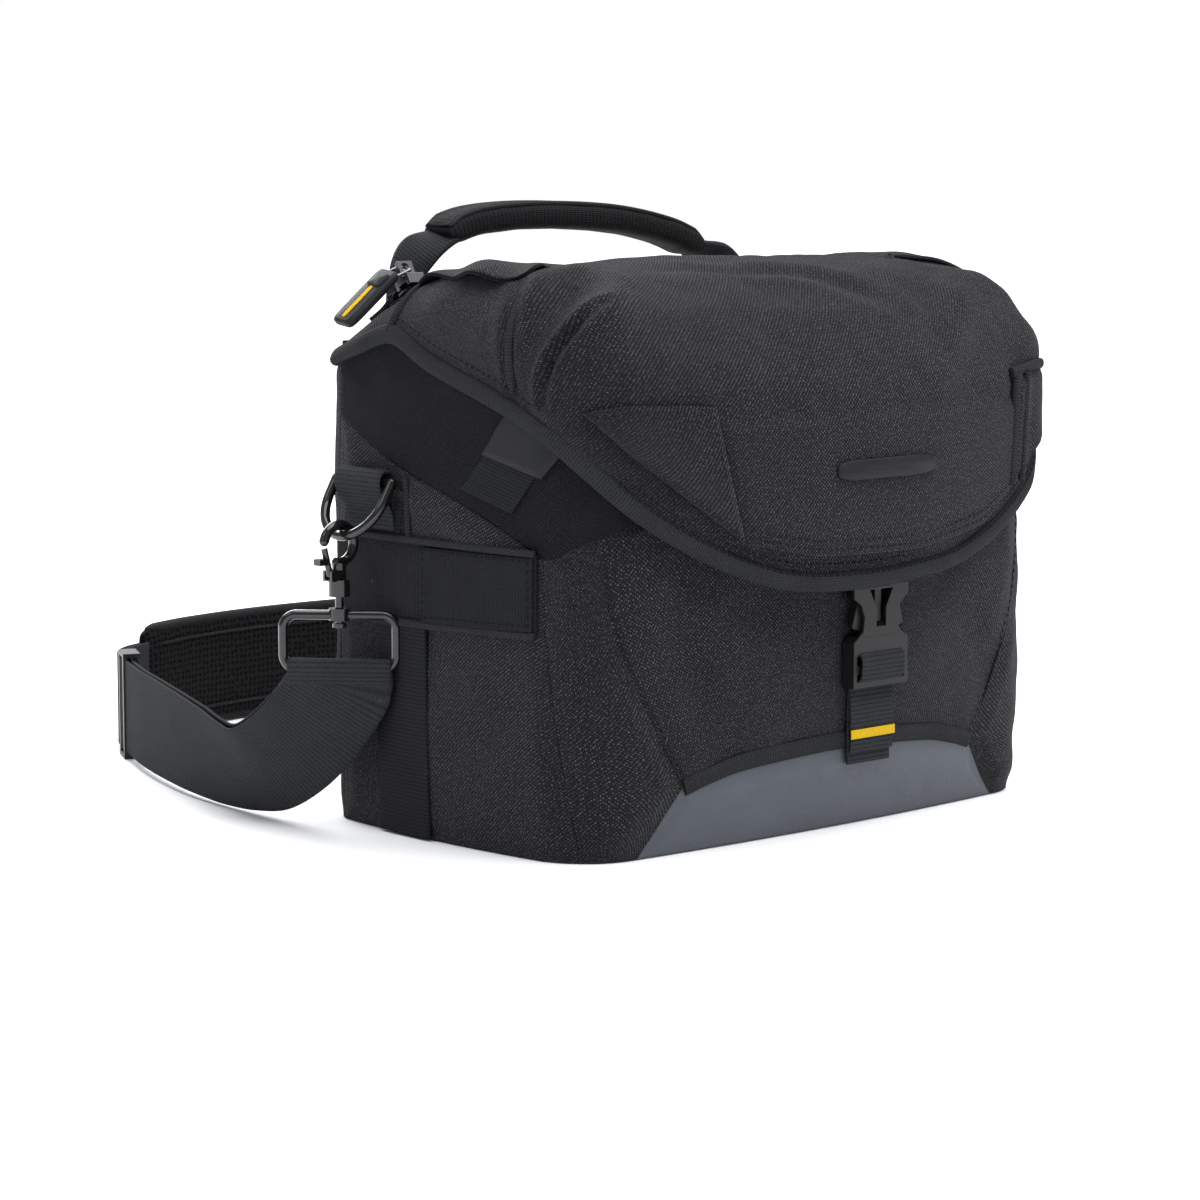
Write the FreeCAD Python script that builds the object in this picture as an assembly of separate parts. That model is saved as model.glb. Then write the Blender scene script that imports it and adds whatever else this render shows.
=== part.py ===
import FreeCAD, Part
import math
import os

# Camera bag standing on its base. Millimetres, +Z up, -Y is the front with the buckle,
# +X is to the right seen from the front. Origin: centre of the base on the floor.

V = FreeCAD.Vector

# --- body shell ---------------------------------------------------------------------
HALF_W = 155.0          # half width at the corners
REAR = 91.0             # outer face of the back panel
FRONT = -91.0           # front face at the corners
SIDE_BULGE = 5.0        # sides belly out by this at mid depth
FRONT_BULGE = 6.0       # front wall bellies out by this at mid width
R_FRONT = 24.0
R_REAR = 14.0
WALL = 4.0              # padded wall thickness
BASE_T = 4.0
WALL_TOP = 240.0
FRONT_TOP = 214.0
BACK_TOP = 227.5
KNIT_SEAM = [(95, 207), (36, 180), (-7, 167), (-35, 157), (-69, 141), (-100, 150)]

# --- foam insert --------------------------------------------------------------------
FOAM = 9.0
FOAM_GAP = 0.5
FOAM_TOP = 200.0
DIVIDER_T = 8.0
DIVIDER_X = 48.0
DIVIDER_TOP = 170.0

# --- front pocket and toe panel -------------------------------------------------------
POCKET_BULGE = 15.0
POCKET_SKIN = 2.5
ARCH = [(-104, 33), (-60, 41), (0, 44), (60, 41), (104, 33)]
TOE_BULGE = 12.5

# --- flap ---------------------------------------------------------------------------
HINGE_Y = 91.0
HINGE_Z = 230.0
FLAP_T = 3.0
FLAP_HALF_W = 160.5
FLAP_FRONT = -97.0
FLAP_FRONT_BULGE = 28.0
FLAP_R = 16.0
SHOULDER_R = 18.0       # rounding between the flap's top and its sides
CROWN = [(91, 233.5), (33, 264), (-16, 271), (-62, 264), (-106, 241), (-125, 195)]
SKIRT = [(-62, 128), (62, 128), (112, 146), (140, 166), (166, 190)]
WING_EDGE = [(47, 252), (47, 241), (-1, 224), (-49, 210), (-93, 190)]

# --- zip ----------------------------------------------------------------------------
ZIP_Y = 41.0            # centre of the teeth on the rear slope
ZIP_LEFT = -150.0
ZIP_RIGHT = 132.0
SLIDER_X = -144.0
BRIDGE_Z = 11.2         # pin of the pull above the flap
PULL_ALONG = (-0.727, 0.160, -0.669)    # the pull hangs over the flap's left shoulder
PULL_PIN = (0.118, 0.987, 0.108)

# --- buckle -------------------------------------------------------------------------
BUCKLE_X = 16.0
BUCKLE_W = 38.0
BUCKLE_BACK = -109.8
BUCKLE_T = 7.6
SOCKET_LOW = 70.0
SOCKET_TOP = 119.0
THROAT_LOW = 94.5
WEB_W = 32.0

# --- side hardware ------------------------------------------------------------------
RING_Y = 46.0
RING_BAR_X = 170.0
RING_BAR_Z = 170.0
RING_WIRE = 2.4
RING_TILT = 30.0
HOOK_R = 9.0
HOOK_WIRE = 2.4
LOOP_W = 59.0
LOOP_WIRE = 2.3
LOOP_CORNER = 6.5
LOOP_YAW = 48.0
LOOP_TOP = -34.0        # loop wires below the hook's eye centre
LOOP_LOW = -60.0

# --- strap --------------------------------------------------------------------------
STRAP_W = 50.0
STRAP_T = 3.0
STRAP_Z = 28.6          # centre height of the webbing where it stands on its edge
GLIDE_FROM = (-142.0, 270.0, STRAP_Z)
GLIDE_TO = (-112.0, 325.0, STRAP_Z)
PAD_W = 62.0
PAD_T = 11.0


def box(x0, x1, y0, y1, z0, z1):
    return Part.makeBox(x1 - x0, y1 - y0, z1 - z0, V(x0, y0, z0))


def prism_x(points, x0, x1):
    loop = [V(x0, y, z) for y, z in points]
    return Part.Face(Part.makePolygon(loop + loop[:1])).extrude(V(x1 - x0, 0, 0))


def prism_y(points, y0, y1):
    loop = [V(x, y0, z) for x, z in points]
    return Part.Face(Part.makePolygon(loop + loop[:1])).extrude(V(0, y1 - y0, 0))


def prism_z(points, z0, z1):
    loop = [V(x, y, z0) for x, y in points]
    return Part.Face(Part.makePolygon(loop + loop[:1])).extrude(V(0, 0, z1 - z0))


def rod(a, b, radius):
    a, b = V(*a), V(*b)
    return Part.makeCylinder(radius, (b - a).Length, a, b - a)


def mirrored(shape):
    return shape.mirror(V(0, 0, 0), V(1, 0, 0))


def join(shapes):
    out = shapes[0]
    for shape in shapes[1:]:
        out = out.fuse(shape)
    return out.removeSplitter()


def group(shapes):
    return Part.makeCompound([solid for shape in shapes for solid in shape.Solids])


def pair(shape):
    return group([shape, mirrored(shape)])


def bow_face(half_w, rear, front, side_bulge, front_bulge, z):
    """Plan outline: straight rear, bowed sides, bowed front."""
    a, b = V(-half_w, rear, z), V(half_w, rear, z)
    c, d = V(half_w, front, z), V(-half_w, front, z)
    mid = (rear + front) / 2
    edges = [
        Part.makeLine(a, b),
        Part.Arc(b, V(half_w + side_bulge, mid, z), c).toShape(),
        Part.Arc(c, V(0, front - front_bulge, z), d).toShape(),
        Part.Arc(d, V(-half_w - side_bulge, mid, z), a).toShape(),
    ]
    return Part.Face(Part.Wire(edges))


def rounded(block, half_w, y, radius):
    edges = []
    for edge in block.Edges:
        low, high = edge.Vertexes[0].Point, edge.Vertexes[-1].Point
        upright = abs(low.x - high.x) < 1e-6 and abs(low.y - high.y) < 1e-6
        if upright and abs(low.y - y) < 1e-3 and abs(abs(low.x) - half_w) < 1e-3:
            edges.append(edge)
    return block.makeFillet(radius, edges)


def body_block(grow, z0, z1, front_bulge=FRONT_BULGE):
    """The body's plan, grown outwards by a number of millimetres and pulled up in Z."""
    half_w, rear, front = HALF_W + grow, REAR + grow, FRONT - grow
    block = bow_face(half_w, rear, front, SIDE_BULGE, front_bulge, z0).extrude(V(0, 0, z1 - z0))
    block = rounded(block, half_w, front, R_FRONT + grow)
    return rounded(block, half_w, rear, max(R_REAR + grow, 2))


def skin(grow_in, grow_out, z0, z1):
    return body_block(grow_out, z0, z1).cut(body_block(grow_in, z0 - 1, z1 + 1))


def side_patch(points, grow_in, grow_out):
    """A flat fabric piece hugging the left side, outlined in Y and Z."""
    z = [p[1] for p in points]
    sleeve = skin(grow_in, grow_out, min(z) - 1, max(z) + 1)
    return sleeve.common(prism_x(points, -HALF_W - 20, -HALF_W + 40))


# --- body ---------------------------------------------------------------------------
def wall_ring():
    ring = body_block(0, BASE_T, WALL_TOP).cut(body_block(-WALL, BASE_T - 1, WALL_TOP + 1))
    over = [(REAR + 5, BACK_TOP), (88, BACK_TOP), (60, WALL_TOP), (-60, WALL_TOP),
            (-99, FRONT_TOP), (-99, WALL_TOP + 5), (REAR + 5, WALL_TOP + 5)]
    return ring.cut(prism_x(over, -HALF_W - 20, HALF_W + 20))


def below_seam():
    outline = KNIT_SEAM + [(-100, 0), (95, 0)]
    return prism_x(outline, -HALF_W - 20, -HALF_W + 60)


def body_panels():
    ring = wall_ring()
    left = ring.common(box(-200, -132, -120, 77, 0, 260))
    lower = left.common(below_seam())
    return {
        "base_panel": body_block(0, 0, BASE_T),
        "back_panel": ring.common(box(-200, 200, 77, 120, 0, 260)),
        "front_panel": ring.common(box(-132, 132, -120, 0, 0, 260)),
        "side_panel_left": lower,
        "side_panel_right": mirrored(lower),
        "side_gusset_left": left.cut(below_seam()),
        "side_gusset_right": mirrored(left.cut(below_seam())),
    }


def insert_pads():
    inner = -WALL - FOAM_GAP
    x = HALF_W + inner - 1
    y_rear, y_front = REAR + inner, FRONT - inner
    low = BASE_T + FOAM_GAP + 6
    left = box(-x, -x + FOAM, y_front + FOAM + 14, y_rear - FOAM - 1, low, FOAM_TOP)
    floor = box(-x + 16, x - 16, y_front + 2, y_rear - 2, BASE_T + FOAM_GAP, low - FOAM_GAP)
    span = [-x + FOAM + 8, x - FOAM - 8]
    front = box(span[0], span[1], y_front, y_front + FOAM, low, FOAM_TOP)
    back = box(span[0], span[1], y_rear - FOAM, y_rear, low, FOAM_TOP)
    slab = box(DIVIDER_X - DIVIDER_T / 2, DIVIDER_X + DIVIDER_T / 2, y_front + FOAM + FOAM_GAP,
               y_rear - FOAM - FOAM_GAP, low, DIVIDER_TOP)
    return {
        "foam_floor": floor,
        "foam_front": front,
        "foam_back": back,
        "foam_sides": pair(left),
        "dividers": pair(slab),
    }


def arch_cut(lift):
    """Everything under the bound arch, with the two slanted seams beside it."""
    top = [(x, z + lift) for x, z in ARCH]
    return [(-137, -5), (-131, 14)] + top + [(131, 14), (137, -5)]


def front_pocket():
    outer = body_block(0.2, 24, 222, POCKET_BULGE)
    crescent = outer.cut(body_block(0.1, 20, 226))
    hollow = body_block(0.2 - POCKET_SKIN, 52, 230, POCKET_BULGE)
    hollow = hollow.common(box(-126, 126, -130, 0, 52, 230))
    outline = [(-150, 222), (-150, 150), (-139, 88), (-107, 33.5)] + ARCH[1:-1]
    outline += [(107, 33.5), (139, 88), (150, 150), (150, 222)]
    panel = crescent.common(prism_y(outline, -130, -60))
    return panel.cut(hollow)


def toe_panel():
    outer = body_block(0.2, 0.6, 46, TOE_BULGE)
    crescent = outer.cut(body_block(0.1, -1, 50))
    outline = [(-134, 0), (-130, 14)] + ARCH + [(130, 14), (134, 0)]
    return crescent.common(prism_y(outline, -130, -60))


def pocket_binding():
    """Tape bound over the arch-shaped lower edge of the pocket."""
    sleeve = body_block(1.4, 20, 60, POCKET_BULGE).cut(body_block(0.3, 19, 61, POCKET_BULGE))
    low = [(x, z - 0.5) for x, z in ARCH]
    high = [(x, z + 3.5) for x, z in reversed(ARCH)]
    return sleeve.common(prism_y(low + high, -130, -60))


# --- side trim ----------------------------------------------------------------------
def side_trim():
    belt = side_patch([(76, 143), (-66, 143), (-66, 105), (76, 101)], 0.1, 2.1)
    upright = side_patch([(43, 104.5), (5, 104.5), (4, 4), (42, 4)], 2.2, 3.9)
    upright = upright.fuse(side_patch([(43, 99), (5, 99), (4, 4), (42, 4)], 0.1, 2.2))
    patch = side_patch([(70, 142), (20, 142), (20, 168), (26, 173), (70, 171)], 0.1, 2.1)
    tab_web = side_patch([(-5, 170), (-37, 160), (-62, 186), (-31, 196)], 0.1, 1.7)
    rubber = side_patch([(-42, 207), (-20, 186), (-58, 176), (-76, 194)], 1.8, 4.8)
    belt = belt.fuse(patch).removeSplitter()
    return {
        "side_belt_left": belt,
        "side_belt_right": mirrored(belt),
        "upright_webs": pair(upright.removeSplitter()),
        "tab_webs": pair(tab_web),
        "rubber_tabs": pair(rubber),
    }


def ring_keeper():
    """Webbing folded over the straight bar of the D-ring and sewn to the side."""
    half = 17.0
    sleeve = Part.makeCylinder(4.6, 2 * half, V(-RING_BAR_X, RING_Y - half, RING_BAR_Z), V(0, 1, 0))
    tail = box(-RING_BAR_X - 0.4, -HALF_W - SIDE_BULGE + 0.6, RING_Y - half, RING_Y + half,
               RING_BAR_Z - 24, RING_BAR_Z - 2)
    fold = sleeve.fuse(tail).cut(Part.makeCylinder(RING_WIRE + 0.35, 60,
                                                   V(-RING_BAR_X, RING_Y - 30, RING_BAR_Z), V(0, 1, 0)))
    return fold.cut(body_block(2.15, 120, 200)).Solids[0]


def wire_path(points, radius):
    """Round wire along straight legs with ball corners."""
    pieces = [rod(a, b, radius) for a, b in zip(points, points[1:])]
    pieces += [Part.makeSphere(radius, V(*p)) for p in points[1:-1]]
    return join(pieces)


def d_ring():
    """Straight bar on top, round bow below, hanging tilted away from the side."""
    half = 20.5
    legs = 9.0
    bow = Part.makeTorus(half, RING_WIRE, V(0, 0, -legs), V(1, 0, 0))
    bow = bow.common(box(-5, 5, -30, 30, -legs - 30, -legs))
    sides = [rod((0, s * half, -legs), (0, s * half, 0), RING_WIRE) for s in (-1, 1)]
    bar = rod((0, -half, 0), (0, half, 0), RING_WIRE)
    knobs = [Part.makeSphere(RING_WIRE, V(0, s * half, 0)) for s in (-1, 1)]
    ring = join([bow, bar] + sides + knobs)
    ring.rotate(V(0, 0, 0), V(0, 1, 0), RING_TILT)
    ring.translate(V(-RING_BAR_X, RING_Y, RING_BAR_Z))
    return ring


def ring_low_point():
    drop = 9.0 + 20.5
    tilt = math.radians(RING_TILT)
    return (-RING_BAR_X - drop * math.sin(tilt), RING_Y, RING_BAR_Z - drop * math.cos(tilt))


def hook_centre():
    x, y, z = ring_low_point()
    return V(x - 1.0, y, z - (HOOK_R - HOOK_WIRE - RING_WIRE - 0.5))


def snap_hook():
    """Open eye, neck and swivel barrel; the eye lies across the D-ring's bow."""
    c = hook_centre()
    eye = Part.makeTorus(HOOK_R, HOOK_WIRE, c, V(0, 1, 0))
    gap = prism_y([(c.x, c.z), (c.x - 30, c.z + 5), (c.x - 30, c.z - 18), (c.x - 5.5, c.z - 18)],
                  c.y - 6, c.y + 6)
    eye = eye.cut(gap)
    nose = Part.makeSphere(HOOK_WIRE, V(c.x - HOOK_R, c.y, c.z + 1.8))
    neck = rod((c.x, c.y, c.z - HOOK_R), (c.x, c.y, c.z - 17), 3.4)
    barrel = rod((c.x, c.y, c.z - 17), (c.x, c.y, c.z - 25), 5.2)
    stem = rod((c.x, c.y, c.z - 25), (c.x, c.y, c.z - 38), 2.0)
    head = rod((c.x, c.y, c.z - 38), (c.x, c.y, c.z - 40), 3.4)
    ear = box(c.x - 7.2, c.x, c.y - 3.4, c.y + 3.4, c.z - 17.5, c.z - 12.4)
    slot = box(c.x - 9, c.x - 3.4, c.y - 1.9, c.y + 1.9, c.z - 16.6, c.z - 10)
    return join([eye, nose, neck, barrel, stem, head, ear]).cut(slot)


def hook_gate():
    """Sprung lever that closes the eye, with a thumb pad outside."""
    c = hook_centre()
    foot = (c.x - 5.6, c.y, c.z - 14.5)
    tip = (c.x - HOOK_R - 0.1, c.y, c.z - 1.3)
    lever = rod(foot, tip, 1.6)
    pad = box(c.x - 13.5, c.x - 8.2, c.y - 2.4, c.y + 2.4, c.z - 9.5, c.z - 6.5)
    return join([lever, Part.makeSphere(1.6, V(*foot)), pad])


def wire_bend(x, z, sx, sz, radius):
    """Quarter turn of the loop's wire about (x, z), towards the corner that the signs name."""
    turn = Part.makeTorus(radius, LOOP_WIRE, V(x, 0, z), V(0, 1, 0))
    reach = radius + LOOP_WIRE + 1
    return turn.common(box(min(x, x + sx * reach), max(x, x + sx * reach), -reach, reach,
                           min(z, z + sz * reach), max(z, z + sz * reach)))


def strap_loop():
    """Rectangular wire loop that swivels under the hook and holds the webbing."""
    c = hook_centre()
    half = LOOP_W / 2 - LOOP_WIRE
    top, low = LOOP_TOP, LOOP_LOW
    r = LOOP_CORNER
    legs = [((-half, 0, low + r), (-half, 0, top - r)), ((half, 0, low + r), (half, 0, top - r)),
            ((r - half, 0, low), (half - r, 0, low)), ((r - half, 0, top), (half - r, 0, top))]
    bends = [wire_bend(sx * (half - r), z, sx, sz, r)
             for sx in (-1, 1) for z, sz in ((top - r, 1), (low + r, -1))]
    frame = join([rod(a, b, LOOP_WIRE) for a, b in legs] + bends)
    boss = rod((0, 0, top - 2.6), (0, 0, top + 3.2), 5.0)
    bore = rod((0, 0, top - 8), (0, 0, top + 8), 2.35)
    loop = join([frame, boss]).cut(bore)
    loop.rotate(V(0, 0, 0), V(0, 0, 1), -LOOP_YAW)
    loop.translate(c)
    return loop


# --- flap ---------------------------------------------------------------------------
def crown_profile(drop):
    """Side profile of the flap's top and front, lowered by a wall thickness."""
    p = [V(0, y, z) for y, z in CROWN]
    if drop:
        inner = [(91, -3.4), (31.5, -3.4), (-16, -3.0), (-61, -3.1), (-103.5, -2.2), (-122, -0.4)]
        p = [V(0, y, z + dz) for (y, dz), (_, z) in zip(inner, CROWN)]
    front = p[5].y
    edges = [
        Part.makeLine(p[0], p[1]),
        Part.Arc(p[1], p[2], p[3]).toShape(),
        Part.Arc(p[3], p[4], p[5]).toShape(),
        Part.makeLine(p[5], V(0, front, 100)),
        Part.makeLine(V(0, front, 100), V(0, p[0].y, 100)),
        Part.makeLine(V(0, p[0].y, 100), p[0]),
    ]
    face = Part.Face(Part.Wire(edges))
    face.translate(V(-200, 0, 0))
    return face.extrude(V(400, 0, 0))


def flap_block(grow):
    half_w, front = FLAP_HALF_W + grow, FLAP_FRONT - grow
    block = bow_face(half_w, REAR, front, SIDE_BULGE, FLAP_FRONT_BULGE, 100)
    block = block.extrude(V(0, 0, 200))
    return rounded(block, half_w, front, FLAP_R + grow)


def soft_shoulders(block, half_w, radius):
    """Round the edges between the top and the two sides."""
    edges = []
    for edge in block.Edges:
        size = edge.BoundBox
        one_side = size.XMin * size.XMax > 0 and min(abs(size.XMin), abs(size.XMax)) > half_w - 40
        if one_side and size.ZMin > 190 and size.YLength > 10:
            edges.append(edge)
    return block.makeFillet(radius, edges)


def flap_shell():
    outer = soft_shoulders(flap_block(0).common(crown_profile(0)), FLAP_HALF_W, SHOULDER_R)
    inner = flap_block(-FLAP_T).common(crown_profile(1))
    inner = soft_shoulders(inner, FLAP_HALF_W - FLAP_T, SHOULDER_R - FLAP_T)
    shell = outer.cut(inner)
    behind = [(120, 90), (120, 229.6), (91, 229.6), (91, 230), (47, 250.8)]
    shell = shell.cut(prism_x(behind + WING_EDGE[1:] + [(-93, 90)], -200, 200))
    right = SKIRT[1:]
    below = [(-x, z) for x, z in reversed(right)] + right + [(200, 90), (-200, 90)]
    return shell.cut(prism_y(below, -140, -92.9))


def flap_panels():
    shell = flap_shell()
    core = FLAP_HALF_W - FLAP_T
    wing = shell.common(box(-200, -core, -92, 60, 100, 300))
    middle = shell.cut(box(-200, -core, -92, 60, 100, 300)).cut(box(core, 200, -92, 60, 100, 300))
    return {
        "flap_rear_panel": middle.common(box(-200, 200, 33, 100, 100, 300)),
        "flap_top_panel": middle.common(box(-200, 200, -62, 33, 100, 300)),
        "flap_front_panel": middle.common(box(-200, 200, -140, -62, 100, 300)),
        "flap_wing_left": wing,
        "flap_wing_right": mirrored(wing),
    }


def flap_skin(grow_in, grow_out, outline):
    """A piece hugging the flap's upright faces, outlined in X and Z."""
    sleeve = flap_block(grow_out).cut(flap_block(grow_in))
    return sleeve.common(prism_y(outline, -140, -60)).common(box(-200, 200, -140, -60, 100, 225))


def flap_trim():
    overlay = [(-140, 176), (-84, 146), (-62, 136), (62, 136), (84, 146), (140, 176),
               (140, 196), (-140, 196)]
    patch = [(-170, 214), (-97, 212), (-82, 152), (-126, 168), (-170, 196)]
    ear = [(170, 218), (118, 218), (112, 162), (130, 170), (170, 198)]
    badge = [(-28, 172), (40, 172), (40, 182), (-28, 182)]
    return {
        "flap_overlay": flap_skin(0.1, 2.1, overlay).common(box(-112, 112, -140, -60, 100, 196)),
        "flap_patch_left": flap_skin(0.1, 1.9, patch).common(box(-200, -112.2, -140, -60, 100, 225)),
        "flap_ear_right": flap_skin(0.1, 3.1, ear).common(box(112.2, 200, -140, -60, 100, 225)),
        "flap_badge": flap_skin(2.2, 4.0, badge),
    }


# --- zip ----------------------------------------------------------------------------
def on_slope(shape, y):
    """Lay a shape modelled on the XY plane onto the flap's rear slope at a given Y."""
    (y0, z0), (y1, z1) = CROWN[0], CROWN[1]
    rise = (z1 - z0) / (y0 - y1)
    shape.rotate(V(0, 0, 0), V(1, 0, 0), -math.degrees(math.atan(rise)))
    shape.translate(V(0, y, z0 + (y0 - y) * rise))
    return shape


def zip_parts():
    tape = box(ZIP_LEFT - 2, ZIP_RIGHT + 8, -9, 9, 0.1, 1.1)
    coil = box(ZIP_LEFT, ZIP_RIGHT, -2.4, 2.4, 1.1, 2.9)
    shed = box(ZIP_LEFT + 2, ZIP_LEFT + 74, 9.4, 22, 0.2, 2.2)
    slider = box(-4, 6, -5.2, 5.2, 3.2, 6.6).fuse(box(-4, 6, 3.2, 5.2, 1.4, 6.6))
    slider = slider.fuse(box(-4, 6, -5.2, -3.2, 1.4, 6.6))
    bridge = box(-4, 5, -1.2, 1.2, 6.6, BRIDGE_Z + 3.4)
    bridge = bridge.cut(rod((0, -3, BRIDGE_Z), (0, 3, BRIDGE_Z), 2.3))
    return {
        "zip_tape": on_slope(tape, ZIP_Y),
        "zip_coil": on_slope(coil, ZIP_Y),
        "zip_garage": on_slope(shed, ZIP_Y),
        "zip_slider": shifted(on_slope(slider.fuse(bridge).removeSplitter(), ZIP_Y), SLIDER_X, 0, 0),
    }


def shifted(shape, x, y, z):
    shape.translate(V(x, y, z))
    return shape


def pull_pin():
    """Centre of the slider's bridge hole."""
    (y0, z0), (y1, z1) = CROWN[0], CROWN[1]
    rise = (z1 - z0) / (y0 - y1)
    up = V(0, rise, 1).normalize()
    return V(SLIDER_X, ZIP_Y, z0 + (y0 - ZIP_Y) * rise) + up * BRIDGE_Z


def zip_pull():
    """Wire shackle through the slider's bridge with a rubber tab moulded on it."""
    wire = 0.8
    path = [(-5, 0, 0), (5, 0, 0), (5, 10, 3.8), (-5, 10, 3.8), (-5, 0, 0)]
    shackle = wire_path(path, wire).fuse(Part.makeSphere(wire, V(-5, 0, 0)))
    tab = box(-8, 8, 6.5, 42.5, 2.0, 5.6).fuse(box(-6, 6, 13, 20, 5.6, 6.8))
    across, along = V(*PULL_PIN).normalize(), V(*PULL_ALONG).normalize()
    face = across.cross(along).normalize()
    across = along.cross(face)
    pin = pull_pin()
    place = FreeCAD.Matrix(across.x, along.x, face.x, pin.x, across.y, along.y, face.y, pin.y,
                           across.z, along.z, face.z, pin.z, 0, 0, 0, 1)
    return [piece.removeSplitter().transformGeometry(place) for piece in (shackle, tab.cut(shackle))]


# --- handle -------------------------------------------------------------------------
def band_xz(points, width, y0, y1):
    """A band of even width along a path in the XZ plane, from y0 to y1."""
    pieces = []
    for (xa, za), (xb, zb) in zip(points, points[1:]):
        length = math.hypot(xb - xa, zb - za)
        nx, nz = -(zb - za) / length * width / 2, (xb - xa) / length * width / 2
        pieces.append(prism_y([(xa + nx, za + nz), (xb + nx, zb + nz),
                               (xb - nx, zb - nz), (xa - nx, za - nz)], y0, y1))
    pieces += [rod((x, y0, z), (x, y1, z), width / 2) for x, z in points[1:-1]]
    return join(pieces)


def handle_parts():
    left = [(-102, 237), (-102, 252), (-97, 268), (-84, 280), (-66, 287)]
    right = [(133, 237), (133, 251), (126, 263), (100, 278)]
    grip_line = [(-72, 286), (-50, 293), (-10, 296), (40, 293), (80, 286), (104, 277)]
    grip = band_xz(grip_line, 14, 91.4, 115.5)
    legs = [band_xz(line, 17, 93.4, 96.0).cut(grip) for line in (left, right)]
    anchors = [box(x - 11, x + 11, 91.3, 92.9, 231.5, 247) for x in (-102, 133)]
    return {"handle_web": group(legs), "handle_grip": grip, "handle_anchors": group(anchors)}


# --- buckle -------------------------------------------------------------------------
def buckle_outline():
    half = BUCKLE_W / 2
    side = [(half, SOCKET_LOW), (half, 92), (half - 6.5, 97), (half - 7.5, 104), (half - 5, 110),
            (half, 113.5), (half, SOCKET_TOP)]
    left = [(-x, z) for x, z in reversed(side)]
    return [(x + BUCKLE_X, z) for x, z in side + left]


def buckle_socket():
    """Ladder end of the socket, and the two plates either side of its open throat."""
    y0, y1 = BUCKLE_BACK - BUCKLE_T, BUCKLE_BACK
    x = BUCKLE_X
    block = prism_y(buckle_outline(), y0, y1)
    ladder = block.common(box(x - 30, x + 30, y0, y1, SOCKET_LOW, THROAT_LOW))
    for low, high in ((73, 76.5), (81, 85.5)):
        ladder = ladder.cut(box(x - 16.6, x + 16.6, y0 - 1, y1 + 1, low, high))
    above = block.common(box(x - 30, x + 30, y0, y1, THROAT_LOW, SOCKET_TOP))
    above = above.cut(box(x - 30, x + 30, y0 + 1.9, y1 - 1.5, THROAT_LOW, SOCKET_TOP))
    keyhole = [(x - 8, 117), (x + 8, 117), (x + 3.4, 108), (x + 3.4, 99), (x - 3.4, 99), (x - 3.4, 108)]
    return {"buckle_socket": ladder, "socket_plates": group([above.cut(prism_y(keyhole, y0 - 1, y0 + 3))])}


def buckle_plug():
    y0, y1 = BUCKLE_BACK - BUCKLE_T, BUCKLE_BACK
    x, half = BUCKLE_X, BUCKLE_W / 2
    head = box(x - half, x + half, y0, y1, SOCKET_TOP + 0.5, SOCKET_TOP + 14)
    slot = box(x - 16.6, x + 16.6, y0 - 1, y1 + 1, SOCKET_TOP + 6.5, SOCKET_TOP + 9.5)
    tongue = box(x - 2.2, x + 2.2, y0 + 2.3, y1 - 1.9, 101, SOCKET_TOP + 1)
    return join([head.cut(slot), tongue])


def plug_arm():
    """One spring arm of the plug, on the low-X side."""
    y0, y1 = BUCKLE_BACK - BUCKLE_T + 2.3, BUCKLE_BACK - 1.9
    x = BUCKLE_X
    outline = [(x - 9, 118.8), (x - 13.4, 118.8), (x - 14, 112), (x - 17.6, 101), (x - 17.6, 98.9),
               (x - 13, 97.6), (x - 10.4, 99), (x - 10.4, 110)]
    return prism_y(outline, y0, y1)


def front_webbing():
    x, half = BUCKLE_X, WEB_W / 2
    face = BUCKLE_BACK + 0.3
    strip = box(x - half, x + half, face, face + 1.7, 31, 88)
    tab = box(x - half - 3, x + half + 3, face - 2.4, face - 0.3, 44, 49)
    stub = box(x - half, x + half, BUCKLE_BACK - 4.6, BUCKLE_BACK - 3.0, SOCKET_TOP + 14.3, SOCKET_TOP + 32)
    return {"buckle_web": strip, "web_keeper": tab, "plug_web": stub}


# --- shoulder strap -----------------------------------------------------------------
def strap_ribbon(stations, width, thickness):
    """Webbing through stations of (point, width direction)."""
    wires = []
    for i, (point, across) in enumerate(stations):
        p = V(*point)
        before = V(*stations[max(i - 1, 0)][0])
        after = V(*stations[min(i + 1, len(stations) - 1)][0])
        along = (after - before).normalize()
        w = V(*across).normalize()
        n = along.cross(w).normalize()
        w = n.cross(along).normalize()
        a, b = w * (width / 2), n * (thickness / 2)
        ring = [p + a + b, p - a + b, p - a - b, p + a - b]
        wires.append(Part.makePolygon(ring + ring[:1]))
    return Part.makeLoft(wires, True, True)


def left_run():
    c = hook_centre()
    yaw = math.radians(LOOP_YAW)
    loop_dir = (math.cos(yaw), -math.sin(yaw), 0)
    low = c.z + LOOP_LOW - LOOP_WIRE - 1.0
    return [
        ((c.x, c.y, low), loop_dir),
        ((c.x, c.y, low - 5), loop_dir),
        ((c.x - 2, c.y + 6, low - 14), (0.66, -0.70, -0.22)),
        ((c.x - 5, c.y + 16, low - 27), (0.62, -0.62, -0.48)),
        ((c.x - 8, c.y + 31, low - 40), (0.58, -0.50, -0.65)),
        ((c.x - 9, c.y + 50, 28), (0.50, -0.36, -0.78)),
        ((c.x - 6, c.y + 72, 25.5), (0.36, -0.22, -0.90)),
        ((c.x, c.y + 100, 26.5), (0.20, -0.10, -0.97)),
        ((c.x + 10, c.y + 138, 28), (0.08, 0, -1)),
        ((-160, 228, STRAP_Z), (0, 0, -1)),
        (GLIDE_FROM, (0, 0, -1)),
        (GLIDE_TO, (0, 0, -1)),
    ]


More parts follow.
